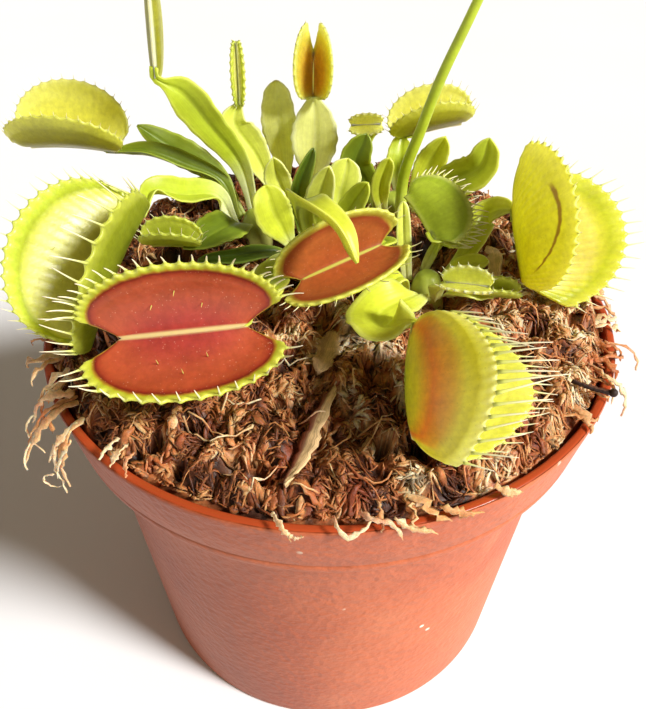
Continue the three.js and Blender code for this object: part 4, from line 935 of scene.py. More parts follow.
def make_strands(shape):
    """The moss that hangs over the pot's rim."""
    random = np.random.default_rng(SEEDS["strands"])
    steps = 16
    t = np.linspace(0, 1, steps)
    for width, tone, points in SHREDS:
        centre = Curve(points).at(t)[None]
        along = unit(np.gradient(centre, axis=1))
        side = unit(np.cross(along, unit(centre * (X + Y)) + UP * 0.6))
        half = 0.5 * width * np.sin(np.pi * (0.22 + 0.76 * t) ** 1.1)[None] ** 0.8
        half = half * random.uniform(0.5, 1.4, (1, steps))
        add_flakes(shape, random, centre, side, np.cross(side, along), half, np.array([tone]),
                   np.ones((1, steps)), 0.14, 0.1, random.uniform(-0.4, 0.4, 1))
    for degrees, spread, count, reach, drop in RIM_FLAKES:
        draw = lambda low, high: random.uniform(low, high, (count, 1))
        start = degrees + spread * ((np.arange(count) + random.random(count)) / count - 0.5)
        sweep, out, fall = draw(-9, 9), reach * draw(0.2, 1.0), drop * draw(0.1, 1.0)
        radius = POT["rim"] - 5 + (5 + out) * smooth(t * 1.1)
        level = POT["height"] + 0.7 + 1.0 * np.sin(np.pi * t * 0.85) - (0.9 + fall) * t ** 3
        angle = np.radians(start[:, None] + sweep * t + random.normal(0, 0.4, (count, steps)))
        centre = np.stack([radius * np.cos(angle), radius * np.sin(angle), level], -1)
        side, up = frames(centre, draw(-0.5, 0.5) + 0 * t)
        half = 0.5 * draw(0.5, 1.7) * np.sin(np.pi * (0.2 + 0.78 * t) ** 1.2) ** 0.8
        half = half * random.uniform(0.6, 1.3, (count, steps))
        add_flakes(shape, random, centre, side, up, half, random.uniform(0.5, 0.95, count),
                   np.ones((count, steps)), cup=random.uniform(-0.4, 0.4, count))


def make_moss():
    """The cushion in four pieces, which keeps each one's mesh light enough to hand on."""
    material = moss_material()
    random = np.random.default_rng(SEEDS["moss"])
    ground = Shape()
    make_cushion(ground)
    make_scales(ground, random, GROUND_SCALES)
    make_strands(ground)
    stand_in(ground.build("sphagnum_moss", [material]), "moss_layer")
    for name in ("sphagnum_scales", "sphagnum_leaves", "sphagnum_tufts"):
        tufts = Shape()
        make_scales(tufts, random, TUFT["scales"])
        make_flakes(tufts, random, TUFT["flakes"])
        make_fibres(tufts, random, TUFT["fibres"])
        piece = tufts.build(name, [material])
        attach(piece, "root")


# --- litter on the moss

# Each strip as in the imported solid, its route as [x, y, height of its middle over the moss]. The
# tones are how dark its two sides are.
LITTER = [
    dict(node="dead_leaf_front", width=2.4, thick=0.8, end=0.35, tilt=20, tones=(0, 1),
         route=[(0.6, -25.6, 0.8), (-1.4, -31, 1.1), (-3.6, -36, 0.8), (-5.6, -40.2, 0.7)]),
    dict(node="dead_leaf_centre", width=3, thick=0.8, end=0.6, tilt=-12, tones=(0.1, 0.5),
         route=[(0.6, -15.4, 0.6), (-0.2, -18.5, 0.9), (-1.6, -23.4, 0.6)]),
    dict(node="dead_leaf_right", width=2.2, thick=0.8, end=0.4, tilt=15, tones=(-0.1, 0.1),
         route=[(26.4, 8.6, 0.6), (26.4, 3, 1.2), (25.6, -2, 1), (24.6, -6, 0.6)]),
    dict(node="bark_chip_back", width=5, thick=1.8, end=0.7, tilt=10, tones=(0.6, 1),
         route=[(-18, 34, 0.8), (-23, 32, 1.2), (-27, 29, 0.8)]),
    dict(node="twig_right", width=0.6, thick=0.55, end=0.6, tilt=0, tones=(0.3, 1),
         route=[(33.4, -22.2, 0.5), (36.4, -23.2, 0.8), (38.8, -23.9, 1.3)]),
]


def make_litter():
    random = np.random.default_rng(SEEDS["litter"])
    straw = dry_material("dry_leaf", (240, 204, 150), (116, 50, 26))
    bark = dry_material("dark_bark", (120, 72, 46), (44, 24, 16), 2.0)
    steps, across = 28, 7
    t, share = np.linspace(0, 1, steps), np.linspace(-1, 1, across)
    for strip in LITTER:
        node = strip["node"]
        curve = Curve([(x, y, moss_level(x, y) + lift) for x, y, lift in strip["route"]])
        centre, along = curve.at(t), curve.tangent(t)
        tilt = math.radians(strip["tilt"])
        flat = unit(np.cross(along, UP))
        normal = np.cross(flat, along) * math.cos(tilt) + flat * math.sin(tilt)
        side = np.cross(along, normal)
        ragged = 1 + 0.16 * random.standard_normal(steps)
        half = strip["width"] / 2 * (1 - (1 - strip["end"]) * np.abs(2 * t - 1) ** 2) * ragged
        half *= np.sqrt(np.clip(1 - ((t - 0.5) / 0.505) ** 8, 0.02, 1))
        fold = 0.3 * (1 - np.abs(share)) + 0.06 * random.standard_normal((steps, across))
        body = (1 - share ** 4)[None, :, None] * strip["thick"] / 2 * 0.8 + 0.06
        middle = centre[:, None] + side[:, None] * (half[:, None] * share)[..., None]
        rims = [middle[:, k] + side * sign * 0.05 - normal * fold[:, [k]]
                for k, sign in ((0, -1), (-1, 1))]
        loops = wrapped(middle + normal[:, None] * (body - fold[..., None]),
                        middle - normal[:, None] * (body + fold[..., None]), rims)
        order = np.concatenate([[-1], share, [1], share[::-1]])
        shape = Shape()
        shape.tubes(loops, painted(loops, order, t[:, None],
                                   lerp(*strip["tones"], smooth((order - 0.1) / 0.3))), flat=True)
        if node == "twig_right":
            # the dark knot at its end
            radius, rings, corners = 0.62, 9, 14
            turn = np.radians(np.linspace(-80, 80, rings))[:, None]
            bead = tube(curve.at(1.0) + radius * np.sin(turn) * UP, X, Y, radius * np.cos(turn), corners)
            shape.tubes(bead, np.array([0, 0.5, 1, 0]))
        material = straw if node.startswith("dead_leaf") else bark
        stand_in(shape.build(node + "_dry", [material]), node)


# --- bulbs


def make_bulbs():
    material = bulb_material()
    sides, rings = 40, 26
    t = np.linspace(0.03, 0.97, rings)[:, None]
    height = CROWN["bulb_top"] - MOSS["bottom"]
    level = MOSS["bottom"] + height * (0.5 - 0.5 * np.cos(np.pi * t))
    for order, (name, (x, y)) in enumerate(CROWNS.items()):
        # overlapping leaf bases show as ridges that wind up the bulb
        ridge = 1 - 0.07 * np.abs(np.sin(2.5 * around(sides) + 4 * t + order)) ** 6
        radius = CROWN["bulb_radius"] * np.sqrt(np.sin(np.pi * t)) * ridge
        loops = tube(x * X + y * Y + level * UP, X, Y, radius, sides)
        shape = Shape()
        shape.tubes(loops, painted(loops, green=t))
        stand_in(shape.build("bulb_" + name, [material]), "rhizome_" + name)


# --- traps


class Trap:
    """Two lobes on a bent hinge from the neck end to the far end, opening along mouth. The lobes
    are length long and depth deep, they part by the gape and curve by the cup, and the hinge rises
    by the arch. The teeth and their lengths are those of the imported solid, minus lobe first, and
    shift moves the lobes' outlines along the hinge."""

    def __init__(self, look, neck, far, mouth, length, depth, gape, cup, arch, teeth, tooth,
                 shift=(0, 0), large=False):
        self.look, self.teeth, self.tooth, self.large = look, teeth, tooth, large
        neck, far = np.array(neck, float), np.array(far, float)
        self.along = unit(far - neck)
        mouth = np.array(mouth, float)
        self.mouth = unit(mouth - self.along * (mouth @ self.along))
        self.side = np.cross(self.along, self.mouth)
        self.centre = (neck + far) / 2
        self.half_hinge = np.linalg.norm(far - neck) / 2
        self.bend_radius = length * length / (8 * arch)
        self.length, self.depth, self.shift = length, depth, shift
        self.gape, self.cup = math.radians(gape), math.radians(cup)
        self.scallop = TRAP["scallop" if large else "small_scallop"]

    def reach(self, theta):
        return self.depth * (TRAP["shoulder"] + (1 - TRAP["shoulder"]) * np.sin(theta))

    def surface(self, theta, v, sign):
        """Points at outline angle theta and share v from hinge to margin on the lobe sign."""
        shift = np.where(sign > 0, self.shift[1], self.shift[0])
        reach = self.reach(theta)
        p = lerp(-self.half_hinge * np.cos(theta), -self.length / 2 * np.cos(theta) + shift, v)
        start = self.gape + self.cup
        here = start - 2 * self.cup * v
        rise = reach * (math.sin(start) - np.sin(here)) / (2 * self.cup)
        spread = reach * (np.cos(here) - math.cos(start)) / (2 * self.cup)
        angle = p / self.bend_radius
        radial = self.bend_radius + rise
        return (self.centre + self.along * (radial * np.sin(angle))[..., None]
                + self.mouth * (radial * np.cos(angle) - self.bend_radius)[..., None]
                + self.side * (sign * spread)[..., None])

    def normal(self, theta, v, sign):
        near = 0.02
        du = self.surface(theta + near, v, sign) - self.surface(theta - near, v, sign)
        dv = self.surface(theta, v + near, sign) - self.surface(theta, v - near, sign)
        return -unit(np.cross(du, dv)) * np.asarray(sign)[..., None]

    def add_lobes(self, shape, counts, ribs):
        """Both lobes as one skin; counts has the hairs of the minus and of the plus lobe."""
        columns, rows = 150 if self.large else 64, 17
        share = np.linspace(0, 1, columns + 1)[:, None]
        ease = np.linspace(0, 1, rows)
        ease = lerp(ease, 0.5 - 0.5 * np.cos(np.pi * ease), 0.6)
        theta, v, sign = np.broadcast_arrays(
            lerp(TRAP["end"], math.pi - TRAP["end"], share), np.concatenate([ease[::-1], ease[1:]]),
            np.concatenate([-np.ones(rows), np.ones(rows - 1)]))
        point = self.surface(theta, v, sign)
        turn = smooth(v / 0.16)[..., None]
        face = unit(self.mouth * (1 - turn) + self.normal(theta, v, sign) * turn)
        # the margin is scalloped, with a hair on each scallop, and rolls in a little
        waves = np.where(sign < 0, counts[0], counts[1])
        scallop = 0.5 - 0.5 * np.cos(2 * np.pi * waves * share)
        edge = smooth((v - 0.88) / 0.12)
        out = unit(self.surface(theta, v * 0 + 1, sign) - self.surface(theta, v * 0 + 0.85, sign))
        point = point + out * (self.scallop * scallop ** 2.2 * edge)[..., None]
        puff = 0.5 * self.reach(theta) / 10 * np.sin(np.pi * np.clip(v / 0.84, 0, 1)) ** 0.8
        roll = 0.2 * edge * scallop - 0.2 * bell(v - 0.83, 0.05) - puff
        ribbing = ribs * np.abs(np.sin(np.pi * 1.15 * waves * share)) * bell(v - 0.58, 0.26)
        point = point + face * ((roll + ribbing) * min(1, self.depth / 8))[..., None]
        from_middle = np.abs((point - self.centre) @ self.side)
        thick = TRAP["lobe"] * lerp(1.0, 0.6, v ** 2)
        outward = np.minimum(thick / 2, 0.6 * from_middle + 0.25 * bell(v, 0.06))
        inward = thick - outward + 0.5 * TRAP["keel"] * bell(v, 0.03)
        inner = point + face * inward[..., None]
        outer = point - face * (outward + TRAP["keel"] * bell(v, 0.07))[..., None]
        lips = [(inner[:, k] + outer[:, k]) / 2 + out[:, k] * 0.14 for k in (0, -1)]
        loops = wrapped(inner, outer, lips)
        # colours follow the distance from the outline, so that the band runs round the ends too
        place = 0.5 - 0.5 * np.cos(theta)
        to_end = self.length * np.minimum(place, 1 - place)
        to_margin = (1 - v) * self.reach(theta)
        inside = 1 - np.minimum(to_end * 5 + 0.08 * self.depth, to_margin) / self.depth
        line = bell(v * self.reach(theta), 0.34)
        inside, line = [wrapped(a, a, (a[:, 0], a[:, -1])) for a in (inside, line)]
        shape.tubes(loops, painted(loops, inside, share, upper_or_lower(v.shape[1]), line), 1, True)

    def add_hairs(self, shape, random, sign, count, long, lean, hook):
        """Hairs of one lobe. long, lean and hook each run from the neck end over the middle to the
        far end of the lobe; angles are in degrees from straight out towards the other lobe."""
        steps, corners = 11, 6
        t = np.linspace(0, 1, steps)
        share = (np.arange(count) + 0.5) / count
        theta = lerp(TRAP["end"], math.pi - TRAP["end"], share)
        ones = np.ones(count)
        root = self.surface(theta, ones, sign * ones)
        out = unit(root - self.surface(theta, 0.8 * ones, sign * ones))
        inward = self.normal(theta, ones, sign * ones)
        way_along = lambda stops: np.interp(share, np.linspace(0, 1, len(stops)), stops)
        reach = way_along(long) * random.uniform(0.8, 1.15, count) + 0.3
        start = np.radians(way_along(lean) + random.normal(0, 4, count))
        bend = np.radians(way_along(hook) * random.uniform(0.5, 1.3, count))
        side = unit(np.cross(out, inward))
        sway = random.normal(0, 0.07, count) + 0.12 * np.cos(theta) * sign
        angle = start[:, None] + bend[:, None] * t ** 1.4
        way = (out[:, None] * np.cos(angle)[..., None] + inward[:, None] * np.sin(angle)[..., None]
               + side[:, None] * (sway[:, None] * (1 + t))[..., None])
        step = unit(way) * (reach / (steps - 1))[:, None, None]
        line = root[:, None] + np.cumsum(step, 1) - step + (out * (self.scallop - 0.25))[:, None]
        across = np.repeat(side[:, None], steps, 1)
        stout = np.clip(max(long) / 3.0, 0.42, 1.0)
        radius = (0.1 * bell(t, 0.13) + 0.125 * (1 - t) ** 0.6 + 0.03) * stout
        loops = tube(line, across, unit(np.cross(way, across)), radius[:, None], corners)
        paint = painted(loops, green=share[:, None, None], alpha=t[:, None])
        shape.tubes(loops, paint, 2)

    def add_triggers(self, shape):
        """Three stiff hairs stand in the middle of each lobe."""
        length, steps, corners = 1.1, 5, 5
        t = np.linspace(0, 1, steps)
        for sign in (-1.0, 1.0):
            at = np.array([1.25, 1.9, 1.57]), np.array([0.38, 0.42, 0.58]), sign * np.ones(3)
            root, way = self.surface(*at), self.normal(*at)
            side = unit(np.cross(way, self.along))
            line = root[:, None] + way[:, None] * (length * t)[:, None]
            radius = (0.055 * (1 - t) + 0.02)[:, None]
            loops = tube(line, side[:, None], np.cross(way, side)[:, None], radius, corners)
            shape.tubes(loops, np.array([0, 0.5, 1, 0.1]), 2)


# --- leaves


# A blade by its look, the crown and the side of the bulb in degrees that it grows from, its width,
# the share of its way where it is widest, its fold in degrees, the way it faces, its route and trap
Leaf = namedtuple("Leaf", "name look crown side width widest fold face route trap foot tip wave",
                  defaults=(None, BLADE["foot"], BLADE["tip"], 0))


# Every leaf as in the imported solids
LEAVES = [
    Leaf("leaf_front_left_red", "fresh", "centre", 240, 6.5, 0.6, 10, (0, 0, 1),
         [(-5.8, -2.5, 80.8), (-8.8, -11, 82.2), (-10.8, -19, 84)],
         Trap("red", (-10.9, -24.4, 85), (-26.3, -25.2, 83.6), (0.19, -0.76, 0.61), 24.8, 10, 55, 17,
              0.8, 14, (2.6, 3.3), large=True)),
    Leaf("leaf_far_left_open", "fresh", "left", 200, 5.5, 0.55, 30, (-0.1, -0.5, 0.8),
         [(-18.4, 12, 83), (-22.8, 7.8, 85.6), (-27, 4.2, 88.2)],
         Trap("open_green", (-28.1, 0.4, 88.8), (-35.6, -16.2, 75.5), (-0.52, -0.71, 0.47), 22, 14.1,
              36, 18, 1.5, 14, (2.5, 3.4), shift=(1.1, 0.3), large=True)),
    Leaf("leaf_back_left_up", "olive", "left", 163, 4, 0.6, 35, (0, -0.3, 1),
         [(-18, 17.6, 82.6), (-24, 18, 85.6), (-30, 18, 88)],
         Trap("olive", (-35.4, 18, 89), (-49.5, 19, 89.4), (0, -0.17, 0.98), 17.5, 10, 32, 18, 1, 12,
              (1.2, 1.2))),
    Leaf("leaf_tall_closed", "fresh", "left", 98, 6, 0.72, 12, (-0.2, -0.9, 0.3),
         [(-14.6, 17.4, 86), (-18.7, 16.4, 93), (-22.6, 15.5, 99)],
         Trap("olive", (-26.2, 15, 101.8), (-25.2, 14, 114.5), (-0.05, 1, 0.1), 14, 4, 13, 12, 0.4, 8,
              (1.2, 1.2)), foot=1.8),
    # this blade's olive look is painted shade, for the leaves over it
    Leaf("leaf_left_small", "olive", "left", 240, 7.5, 0.55, 8, (0, -0.3, 1),
         [(-15, 7.4, 80.8), (-18.2, 3.2, 81.4)],
         Trap("fresh_small", (-20.8, 0.2, 81.4), (-27.4, 0.6, 81.4), (0.1, -0.3, 1), 9, 4.4, 24, 14,
              0.4, 7, (1.8, 1.8))),
    Leaf("leaf_left_olive", "olive", "left", 134, 5.5, 0.6, 20, (0.3, -0.6, 0.7),
         [(-19.5, 21, 82), (-27, 22.8, 86.3), (-32.5, 23.8, 90)], foot=1.2),
    Leaf("blade_left_low", "dark", "centre", 203, 3.4, 0.5, 10, (0, -0.2, 1),
         [(-8.4, 2.2, 78.6), (-14.8, 0.8, 78.6), (-20.5, 0, 78.4)]),
    Leaf("leaf_centre_orange", "fresh", "centre", 320, 3.4, 0.5, 10, (0, 0, 1),
         [(4.4, 0, 80.6), (8.4, -3, 83.8)],
         Trap("orange", (6.9, -7.6, 86), (-3.7, -10.9, 82.6), (0, -0.74, 0.67), 18, 8.5, 38, 12, 0.6,
              12, (1.6, 1.4))),
    Leaf("blade_centre_round", "bright", "centre", 160, 6, 0.62, 10, (0.2, -0.8, 0.5),
         [(-7.6, 5.6, 81), (-8.8, 4.6, 84.5), (-9.8, 5.6, 88.5)], tip=3.2),
    Leaf("blade_centre_folded", "dark", "centre", 118, 3.6, 0.55, 40, (0.3, -0.8, 0.4),
         [(-4.9, 8.6, 82), (-4.8, 8.2, 87), (-2.4, 9, 93)]),
    Leaf("blade_centre_bright", "pale", "centre", 78, 4.4, 0.6, 16, (0, -0.8, 0.5),
         [(-1.9, 7.4, 81.5), (-1.6, 5.6, 86), (0, 4, 92.5)], tip=1.4),
    Leaf("blade_centre_band", "fresh", "centre", 8, 4.2, 0.5, 10, (-0.2, -0.8, 0.6),
         [(2.4, 5.2, 82), (3.8, 4.4, 86), (5.8, 3.6, 90)], tip=1.6),
    Leaf("blade_centre_pale", "pale", "centre", 42, 6, 0.66, 10, (0, -0.8, 0.5),
         [(1.2, 10.4, 82.4), (2.2, 10.8, 86.4), (3, 11.6, 90)], tip=3),
    Leaf("blade_centre_arching", "turned", "centre", 280, 5, 0.66, 26, (0.3, 0.2, 1),
         [(-3.6, -2.6, 85.5), (-4.2, -7.5, 92.8), (-2.6, -12, 95.2), (1.2, -16, 94.2),
         (3.4, -18.8, 90.6)]),
    Leaf("leaf_front_right_blush", "bright", "right", 245, 9, 0.6, 8, (0, -0.3, 1),
         [(12.2, -11.6, 80.4), (7, -16.6, 81.4), (7, -22, 82.8)],
         Trap("blush", (9.9, -26.1, 86.8), (9.4, -37.6, 78.3), (0.9, -0.33, 0.3), 21.5, 16, 38, 15,
              -2.1, 13, (2.4, 4), shift=(0.6, 2.2), large=True), wave=0.9),
    Leaf("leaf_right_centre", "fresh", "right", 95, 2.6, 0.5, 10, (0, 0, 1),
         [(16.4, 0.4, 80.5), (17.6, 0.2, 83.4)],
         Trap("leafy_small", (16.2, -2.6, 84), (12.4, 5, 87.2), (0.97, 0.15, 0.05), 12, 7, 14, 14, 0.6,
              11, (1.8, 1.8))),
    Leaf("leaf_far_right_open", "bright", "right", 35, 4.5, 0.62, 12, (-0.2, -0.6, 0.8),
         [(21.5, 0, 80.6), (24.4, 4.4, 84)],
         Trap("sunlit", (27.7, 0.5, 87.1), (29.5, -6.3, 78.6), (0.81, -0.38, 0.45), 21, 16.9, 44, 17,
              -0.3, 14, (3.4, 1.4), shift=(-0.3, -3.4), large=True)),
    Leaf("leaf_right_small", "bright", "right", 320, 3.2, 0.55, 10, (0, -0.2, 1),
         [(19.6, -8.6, 79.1)],
         Trap("fresh_small", (22.4, -9.3, 79), (26.6, -9.6, 78.8), (0, -0.4, 1), 6, 3, 24, 12, 0.3, 6,
              (1, 1))),
    Leaf("leaf_right_bright", "pale", "right", 285, 2.4, 0.5, 10, (0, 0, 1), [(15.8, -9.5, 80.6)],
         Trap("pale_green", (16.6, -10.7, 81.8), (22.2, -12.4, 82.2), (0, -0.6, 0.9), 7, 3, 40, 12, 0.3,
              6, (1, 1))),
    Leaf("blade_right_toothed", "bright", "right", 0, 3.6, 0.5, 14, (0, -0.4, 1),
         [(19.8, -4.8, 80.4), (23.5, -5.4, 82)]),
    Leaf("blade_right_narrow", "pale", "right", 150, 2.2, 0.5, 14, (0, -1, 0.3),
         [(11.4, 0, 82), (11, 1.6, 88)]),
    Leaf("blade_right_tuft", "bright", "right", 205, 2.6, 0.5, 14, (0, -0.2, 1),
         [(10.4, -7, 80.2), (7.4, -11, 80.4)]),
    Leaf("blade_back_right_round", "fresh", "back_right", 335, 6, 0.6, 12, (-0.2, -0.9, 0.4),
         [(19.5, 17, 82.5), (24.5, 14.5, 87), (25.5, 14.5, 92)], tip=2.6),
    Leaf("leaf_back_right_open", "fresh", "back_right", 70, 4.5, 0.55, 12, (0, -0.5, 1),
         [(12.6, 25, 83.5)],
         Trap("olive", (13.2, 27, 87), (23, 27.5, 89.4), (-0.1, -0.1, 1), 14, 7, 30, 16, 0.6, 10,
              (1.5, 1.5))),
    Leaf("blade_back_dark_left", "olive", "back_right", 200, 5.5, 0.6, 18, (0, -1, 0.3),
         [(6.8, 18.4, 81.5), (4.4, 18, 86), (6.2, 18.4, 91)], tip=2.2),
    Leaf("blade_back_bright", "bright", "back_right", 235, 3.2, 0.55, 16, (0, -1, 0.4),
         [(8.6, 15.6, 83), (9.8, 14.6, 88.6)], tip=1.8),
    Leaf("leaf_back_oval", "fresh", "back_right", 165, 2, 0.5, 10, (0, -1, 0.3),
         [(5.8, 23, 84), (6.8, 23, 88.5)],
         Trap("olive", (8.6, 23, 90.6), (4, 23, 90.4), (0, -0.9, 0.4), 5.5, 2.3, 46, 12, 0.2, 5,
              (0.6, 0.6))),
    Leaf("blade_back_yellow", "bright", "back_right", 30, 5, 0.6, 12, (0, -1, 0.4),
         [(17.5, 22, 84), (19.5, 20.5, 89.5)]),
    Leaf("leaf_back_needle", "pale", "back", 165, 6.5, 0.6, 24, (0.2, -0.9, 0.4),
         [(-12.6, 24, 84), (-16, 23, 91)],
         Trap("open_green", (-14.8, 23, 94.2), (-14.6, 23, 104), (0.1, -1, 0.1), 10.4, 1.3, 50, 10, 0.2,
              8, (0.4, 0.4))),
    Leaf("leaf_back_yellow_vee", "glow", "back", 20, 8, 0.55, 12, (0, -0.9, 0.4),
         [(-2.6, 25, 84), (-2.4, 25.5, 90)],
         Trap("vee", (-2.6, 26, 94.2), (-2.5, 25, 101), (0, -1, 0.2), 12, 5.2, 36, 10, 0.4, 8,
              (0.5, 0.5), shift=(3, 3))),
    Leaf("blade_back_oval", "glow", "back", 110, 6, 0.6, 12, (0, -0.9, 0.4),
         [(-8.2, 28, 84), (-8.6, 26.5, 90), (-8.8, 27, 96.5)], tip=3),
    Leaf("blade_back_short", "pale", "back", 270, 4.6, 0.6, 16, (0, -0.9, 0.4),
         [(-8.6, 19.2, 82), (-9.2, 18, 87)]),
]


def width_at(leaf, t):
    widest, end, tip = leaf.widest, 1.0, leaf.tip
    if leaf.trap:
        end, tip = 0.9, BLADE["neck"]
    rising = lerp(leaf.foot, leaf.width, smooth(t / widest))
    falling = lerp(leaf.width, tip, np.clip((t - widest) / (end - widest), 0, 1) ** 2.2)
    return np.where(t < widest, rising, falling)


def add_blade(shape, leaf, route, random):
    across = 2 * BLADE["across"] + 1
    t = np.linspace(0, 1, BLADE["steps"] + 1)
    curve = Curve(route)
    centre, along = curve.at(t), curve.tangent(t)
    face = np.array(leaf.face, float)
    normal = unit(face - along * (along @ face)[:, None])
    side = np.cross(along, normal)
    half = width_at(leaf, t) / 2
    if not leaf.trap:
        half = half * np.sqrt(np.clip(1 - (np.clip(t - 0.9, 0, 1) / 0.1) ** 2, 0.03, 1))
    t, half, normal = t[:, None], half[:, None], normal[:, None]
    fold = math.radians(leaf.fold)
    share = np.linspace(-1, 1, across)[None]
    phase = random.uniform(0, 6.3, 2)
    ripple = leaf.wave * np.sin(2 * np.pi * 3 * t + np.where(share > 0, 1.2, 0))
    own = 0.22 * np.sin(2 * np.pi * 2.3 * t + np.where(share > 0, *phase))
    small = np.minimum(1, half / 3)
    height = half * np.abs(share) ** 1.25 * math.sin(fold)
    height = height + (ripple + own) * np.abs(share) ** 1.5 * small
    notch = 1 + 0.03 * np.sin(2 * np.pi * 9 * t + phase[0]) * small
    middle = (centre[:, None] + side[:, None] * (half * share * notch * math.cos(fold))[..., None]
              + normal * height[..., None])
    # a groove runs along the upper face and a keel along the lower one
    up = 0.26 - 0.1 * np.abs(share) ** 2 - 0.26 * bell(share, 0.13)
    down = 0.2 - 0.06 * np.abs(share) + 0.72 * bell(share, 0.24) * np.minimum(1, half / 1.2)
    rims = [middle[:, k] + side * sign * 0.12 for k, sign in ((0, -1), (-1, 1))]
    loops = wrapped(middle + normal * up[..., None], middle - normal * down[..., None], rims)
    order = np.abs(share[0])
    reds = np.concatenate([[1], order, [1], order[::-1]])
    shape.tubes(loops, painted(loops, reds, t, upper_or_lower(across)), flat=True)


# The hairs of the minus and of the plus lobe: [number, length, lean, hook], the last three as
# stops from the neck end to the far end
HAIRS = {
    "leaf_front_left_red": [
        (17, (2.2, 1.6, 2.2, 2.4, 3.0), (20, 66, 74, 60, 0), (10, 20, 22, 20, 14)),
        (25, (2.8, 1.4, 1.3, 1.8, 3.2), (14, 8, 4, 6, 10), (16, 34, 30, 24, 20))],
    "leaf_far_left_open": [
        (16, (2.4, 4.2, 5.4, 5.0, 4.2), (-6, 18, 26, 24, 14), (10, 16, 22, 22, 18)),
        (22, (2.0, 2.0, 1.9, 1.8, 1.6), (4, 2, 0, 2, 6), (4, 6, 6, 6, 8))],
    "leaf_front_right_blush": [
        (17, (1.6, 2.2, 2.4, 2.2, 1.6), (6, 0, -8, 0, 6), (14, 24, 24, 24, 14)),
        (18, (3.2, 5.0, 6.2, 5.6, 3.6), (8, 22, 28, 24, 12), (14, 26, 30, 26, 18))],
    "leaf_far_right_open": [
        (18, (1.6, 2.2, 2.5, 2.5, 2.0), (0, -4, -6, -4, 0), (8, 10, 12, 10, 8)),
        (20, (0.7, 0.6, 0.5, 0.5, 0.6), (8, 6, 6, 6, 8), (4, 4, 4, 4, 4))],
    "leaf_right_centre": [
        (20, (1.8, 2.4, 2.7, 2.5, 1.9), (6, 14, 18, 14, 6), (10, 14, 14, 14, 10)),
        (20, (1.8, 2.4, 2.7, 2.5, 1.9), (6, 14, 18, 14, 6), (10, 14, 14, 14, 10))],
    "leaf_centre_orange": [
        (14, (1.7, 1.9, 1.9, 1.7, 1.5), (4, 0, 0, 4, 8), (14, 18, 18, 18, 14)),
        (15, (1.4, 1.1, 1.0, 1.1, 1.5), (10, 14, 14, 12, 8), (14, 20, 20, 18, 14))],
}

# How deep the ribs across a trap's lobes are
RIBS = {"leaf_far_right_open": 0.16, "leaf_far_left_open": 0.05}


def small_hairs(trap, lobe):
    """Finer and shorter hairs of the traps that are small in the photo."""
    long = 0.8 * trap.tooth[lobe]
    return (int(round(trap.teeth * 1.5)), (long, 0.85 * long, 0.8 * long, 0.85 * long, long),
            (12,) * 5, (16,) * 5)


def make_leaves():
    blades = {look: blade_material("leaf_" + look, look) for look in GREENS}
    traps = {look: trap_material("trap_" + look, look) for look in TRAPS}
    hair = hair_material()
    random = np.random.default_rng(SEEDS["leaves"])
    for leaf in LEAVES:
        shape = Shape()
        name, trap = leaf.name, leaf.trap
        route = [crown_edge(leaf.crown, CROWN["ring"], leaf.side), *leaf.route]
        materials = [blades[leaf.look]]
        if trap:
            hairs = HAIRS.get(name, [small_hairs(trap, k) for k in (0, 1)])
            neck = trap.surface(np.array(0.0), np.array(0.0), np.array(1.0))
            under = neck - trap.mouth * TRAP["under"]
            route += [under, under + trap.along * TRAP["socket"]]
            materials += [traps[trap.look], hair]
            trap.add_lobes(shape, [lobe[0] for lobe in hairs], RIBS.get(name, 0.0))
            for sign, lobe in zip((-1.0, 1.0), hairs):
                trap.add_hairs(shape, random, sign, *lobe)
            if trap.large:
                trap.add_triggers(shape)
        add_blade(shape, leaf, route, random)
        living = name.replace("leaf_", "living_").replace("blade_", "living_blade_")
        stand_in(shape.build(living, materials), name)


# --- flower stalk

STALK = dict(
    side=285, ring=3.7, foot=1.05, tip=0.62, sides=18, steps=70,
    route=[(12.6, 16.6, 84.5), (14.6, 16, 92.5), (16.9, 15.5, 101), (21, 15, 112.5), (26, 14.6, 128)],
)

# The buds at its tip: how far each leans and to which side, in radians, and its size
BUDS = [(0, 0, 1), (0.9, 0.6, 0.8), (0.8, 3.4, 0.75)]


def make_stalk():
    shape = Shape()
    curve = Curve([crown_edge("back_right", STALK["ring"], STALK["side"]), *STALK["route"]])
    t = np.linspace(0, 1, STALK["steps"] + 1)
    centre, along = curve.at(t), curve.tangent(t)
    side = unit(Y - along * (along @ Y)[:, None])
    # low ridges run along the stalk
    ridge = 1 - 0.05 * np.sin(3 * around(STALK["sides"]) + 0.5) ** 2
    radius = lerp(STALK["foot"], STALK["tip"], t)[:, None] * ridge
    loops = tube(centre, side, np.cross(along, side), radius, STALK["sides"])
    shape.tubes(loops, painted(loops, 0.5, 0.3 + 0.7 * t[:, None], 1))

    upright = Vector(Y).rotation_difference(Vector(along[-1])).to_matrix()
    rings, sides = 18, 24
    share = np.linspace(0.02, 0.985, rings)[:, None]
    # three sepals close over each bud and part a little at its tip
    sepals = np.abs(np.cos(1.5 * around(sides))) ** 8
    for lean, swing, size in BUDS:
        rotate = upright @ Matrix.Rotation(swing, 3, "Y") @ Matrix.Rotation(lean, 3, "X")
        width = 1.5 * size * np.sin(np.pi * share ** 0.8) * (1 - 0.09 * sepals * share)
        bud = tube((5 * size * share - 0.8) * Y, X, UP, width, sides) @ np.array(rotate).T
        shape.tubes(bud + centre[-1], painted(bud, 0.5 + 0.5 * sepals, 0.5, 1))
    stand_in(shape.build("budding_stalk", [blade_material("stalk_green", "fresh")]), "flower_stalk")


# --- stage, light and camera

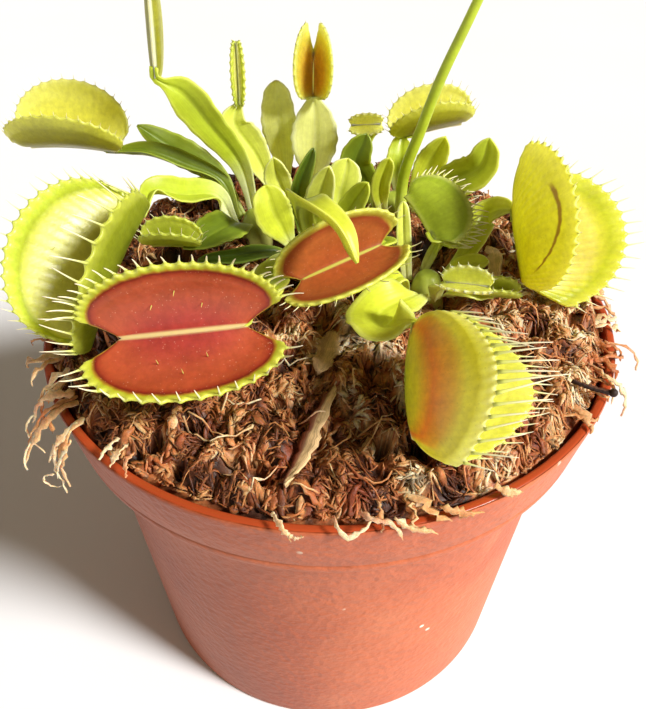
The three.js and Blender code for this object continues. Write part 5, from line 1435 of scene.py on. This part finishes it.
# In metres and degrees
FLOOR = dict(rings=(0.8, 1.5, 2.5, 4.0, 6.0, 8.0), rise=0.029, sides=64)
SUN = dict(place=(0.66, -0.385, 0.7), target=(0, 0, 0.06), energy=5.3, angle=13, tint=(1.0, 0.97, 0.92))
AIR = dict(tint=(1.0, 0.8, 0.52, 1), strength=0.185)
CAMERA = dict(lens=38.59, film=36, target=(-0.00095, 0, 0.0592), away=0.131, elevation=40.7)


def make_stage():
    """A level floor that rises gently far away, so that the horizon is pale too."""
    sides, level = FLOOR["sides"], FLOOR["rings"][0]
    turn = around(sides)
    circle = np.stack([np.cos(turn), np.sin(turn), 0 * turn], -1)
    points, faces = [(0, 0, 0)], [(0, k + 1, (k + 1) % sides + 1) for k in range(sides)]
    for ring, radius in enumerate(FLOOR["rings"]):
        points += [tuple(p) for p in circle * radius + UP * (FLOOR["rise"] * (radius - level) ** 2)]
        start = 1 + (ring - 1) * sides
        if ring:
            faces += [(start + k, start + sides + k, start + sides + (k + 1) % sides,
                       start + (k + 1) % sides) for k in range(sides)]
    mesh = bpy.data.meshes.new("studio_floor")
    mesh.from_pydata(points, [], faces)
    mesh.shade_smooth()
    mesh.materials.append(floor_material())
    add_object("studio_floor", mesh)


def make_light():
    world = bpy.data.worlds.new("studio")
    world.use_nodes = True
    background = world.node_tree.nodes["Background"]
    background.inputs["Color"].default_value = AIR["tint"]
    background.inputs["Strength"].default_value = AIR["strength"]
    bpy.context.scene.world = world
    light = bpy.data.lights.new("window", "SUN")
    light.energy, light.color, light.angle = SUN["energy"], SUN["tint"], math.radians(SUN["angle"])
    add_object("window", light, SUN["place"], SUN["target"])


def make_camera():
    camera = bpy.data.cameras.new("photo_camera")
    camera.lens, camera.sensor_width = CAMERA["lens"], CAMERA["film"]
    camera.clip_start, camera.clip_end = 0.005, 20
    target, rise = Vector(CAMERA["target"]), math.radians(CAMERA["elevation"])
    way = Vector((0, -CAMERA["away"] * math.cos(rise), CAMERA["away"] * math.sin(rise)))
    bpy.context.scene.camera = add_object("photo_camera", camera, target + way, target)


make_camera()
make_pot()
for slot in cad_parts["potting_soil"].material_slots:
    slot.material = soil_material()
make_moss()
make_litter()
make_bulbs()
make_leaves()
make_stalk()
make_stage()
make_light()
bpy.context.scene.view_settings.view_transform = "Standard"
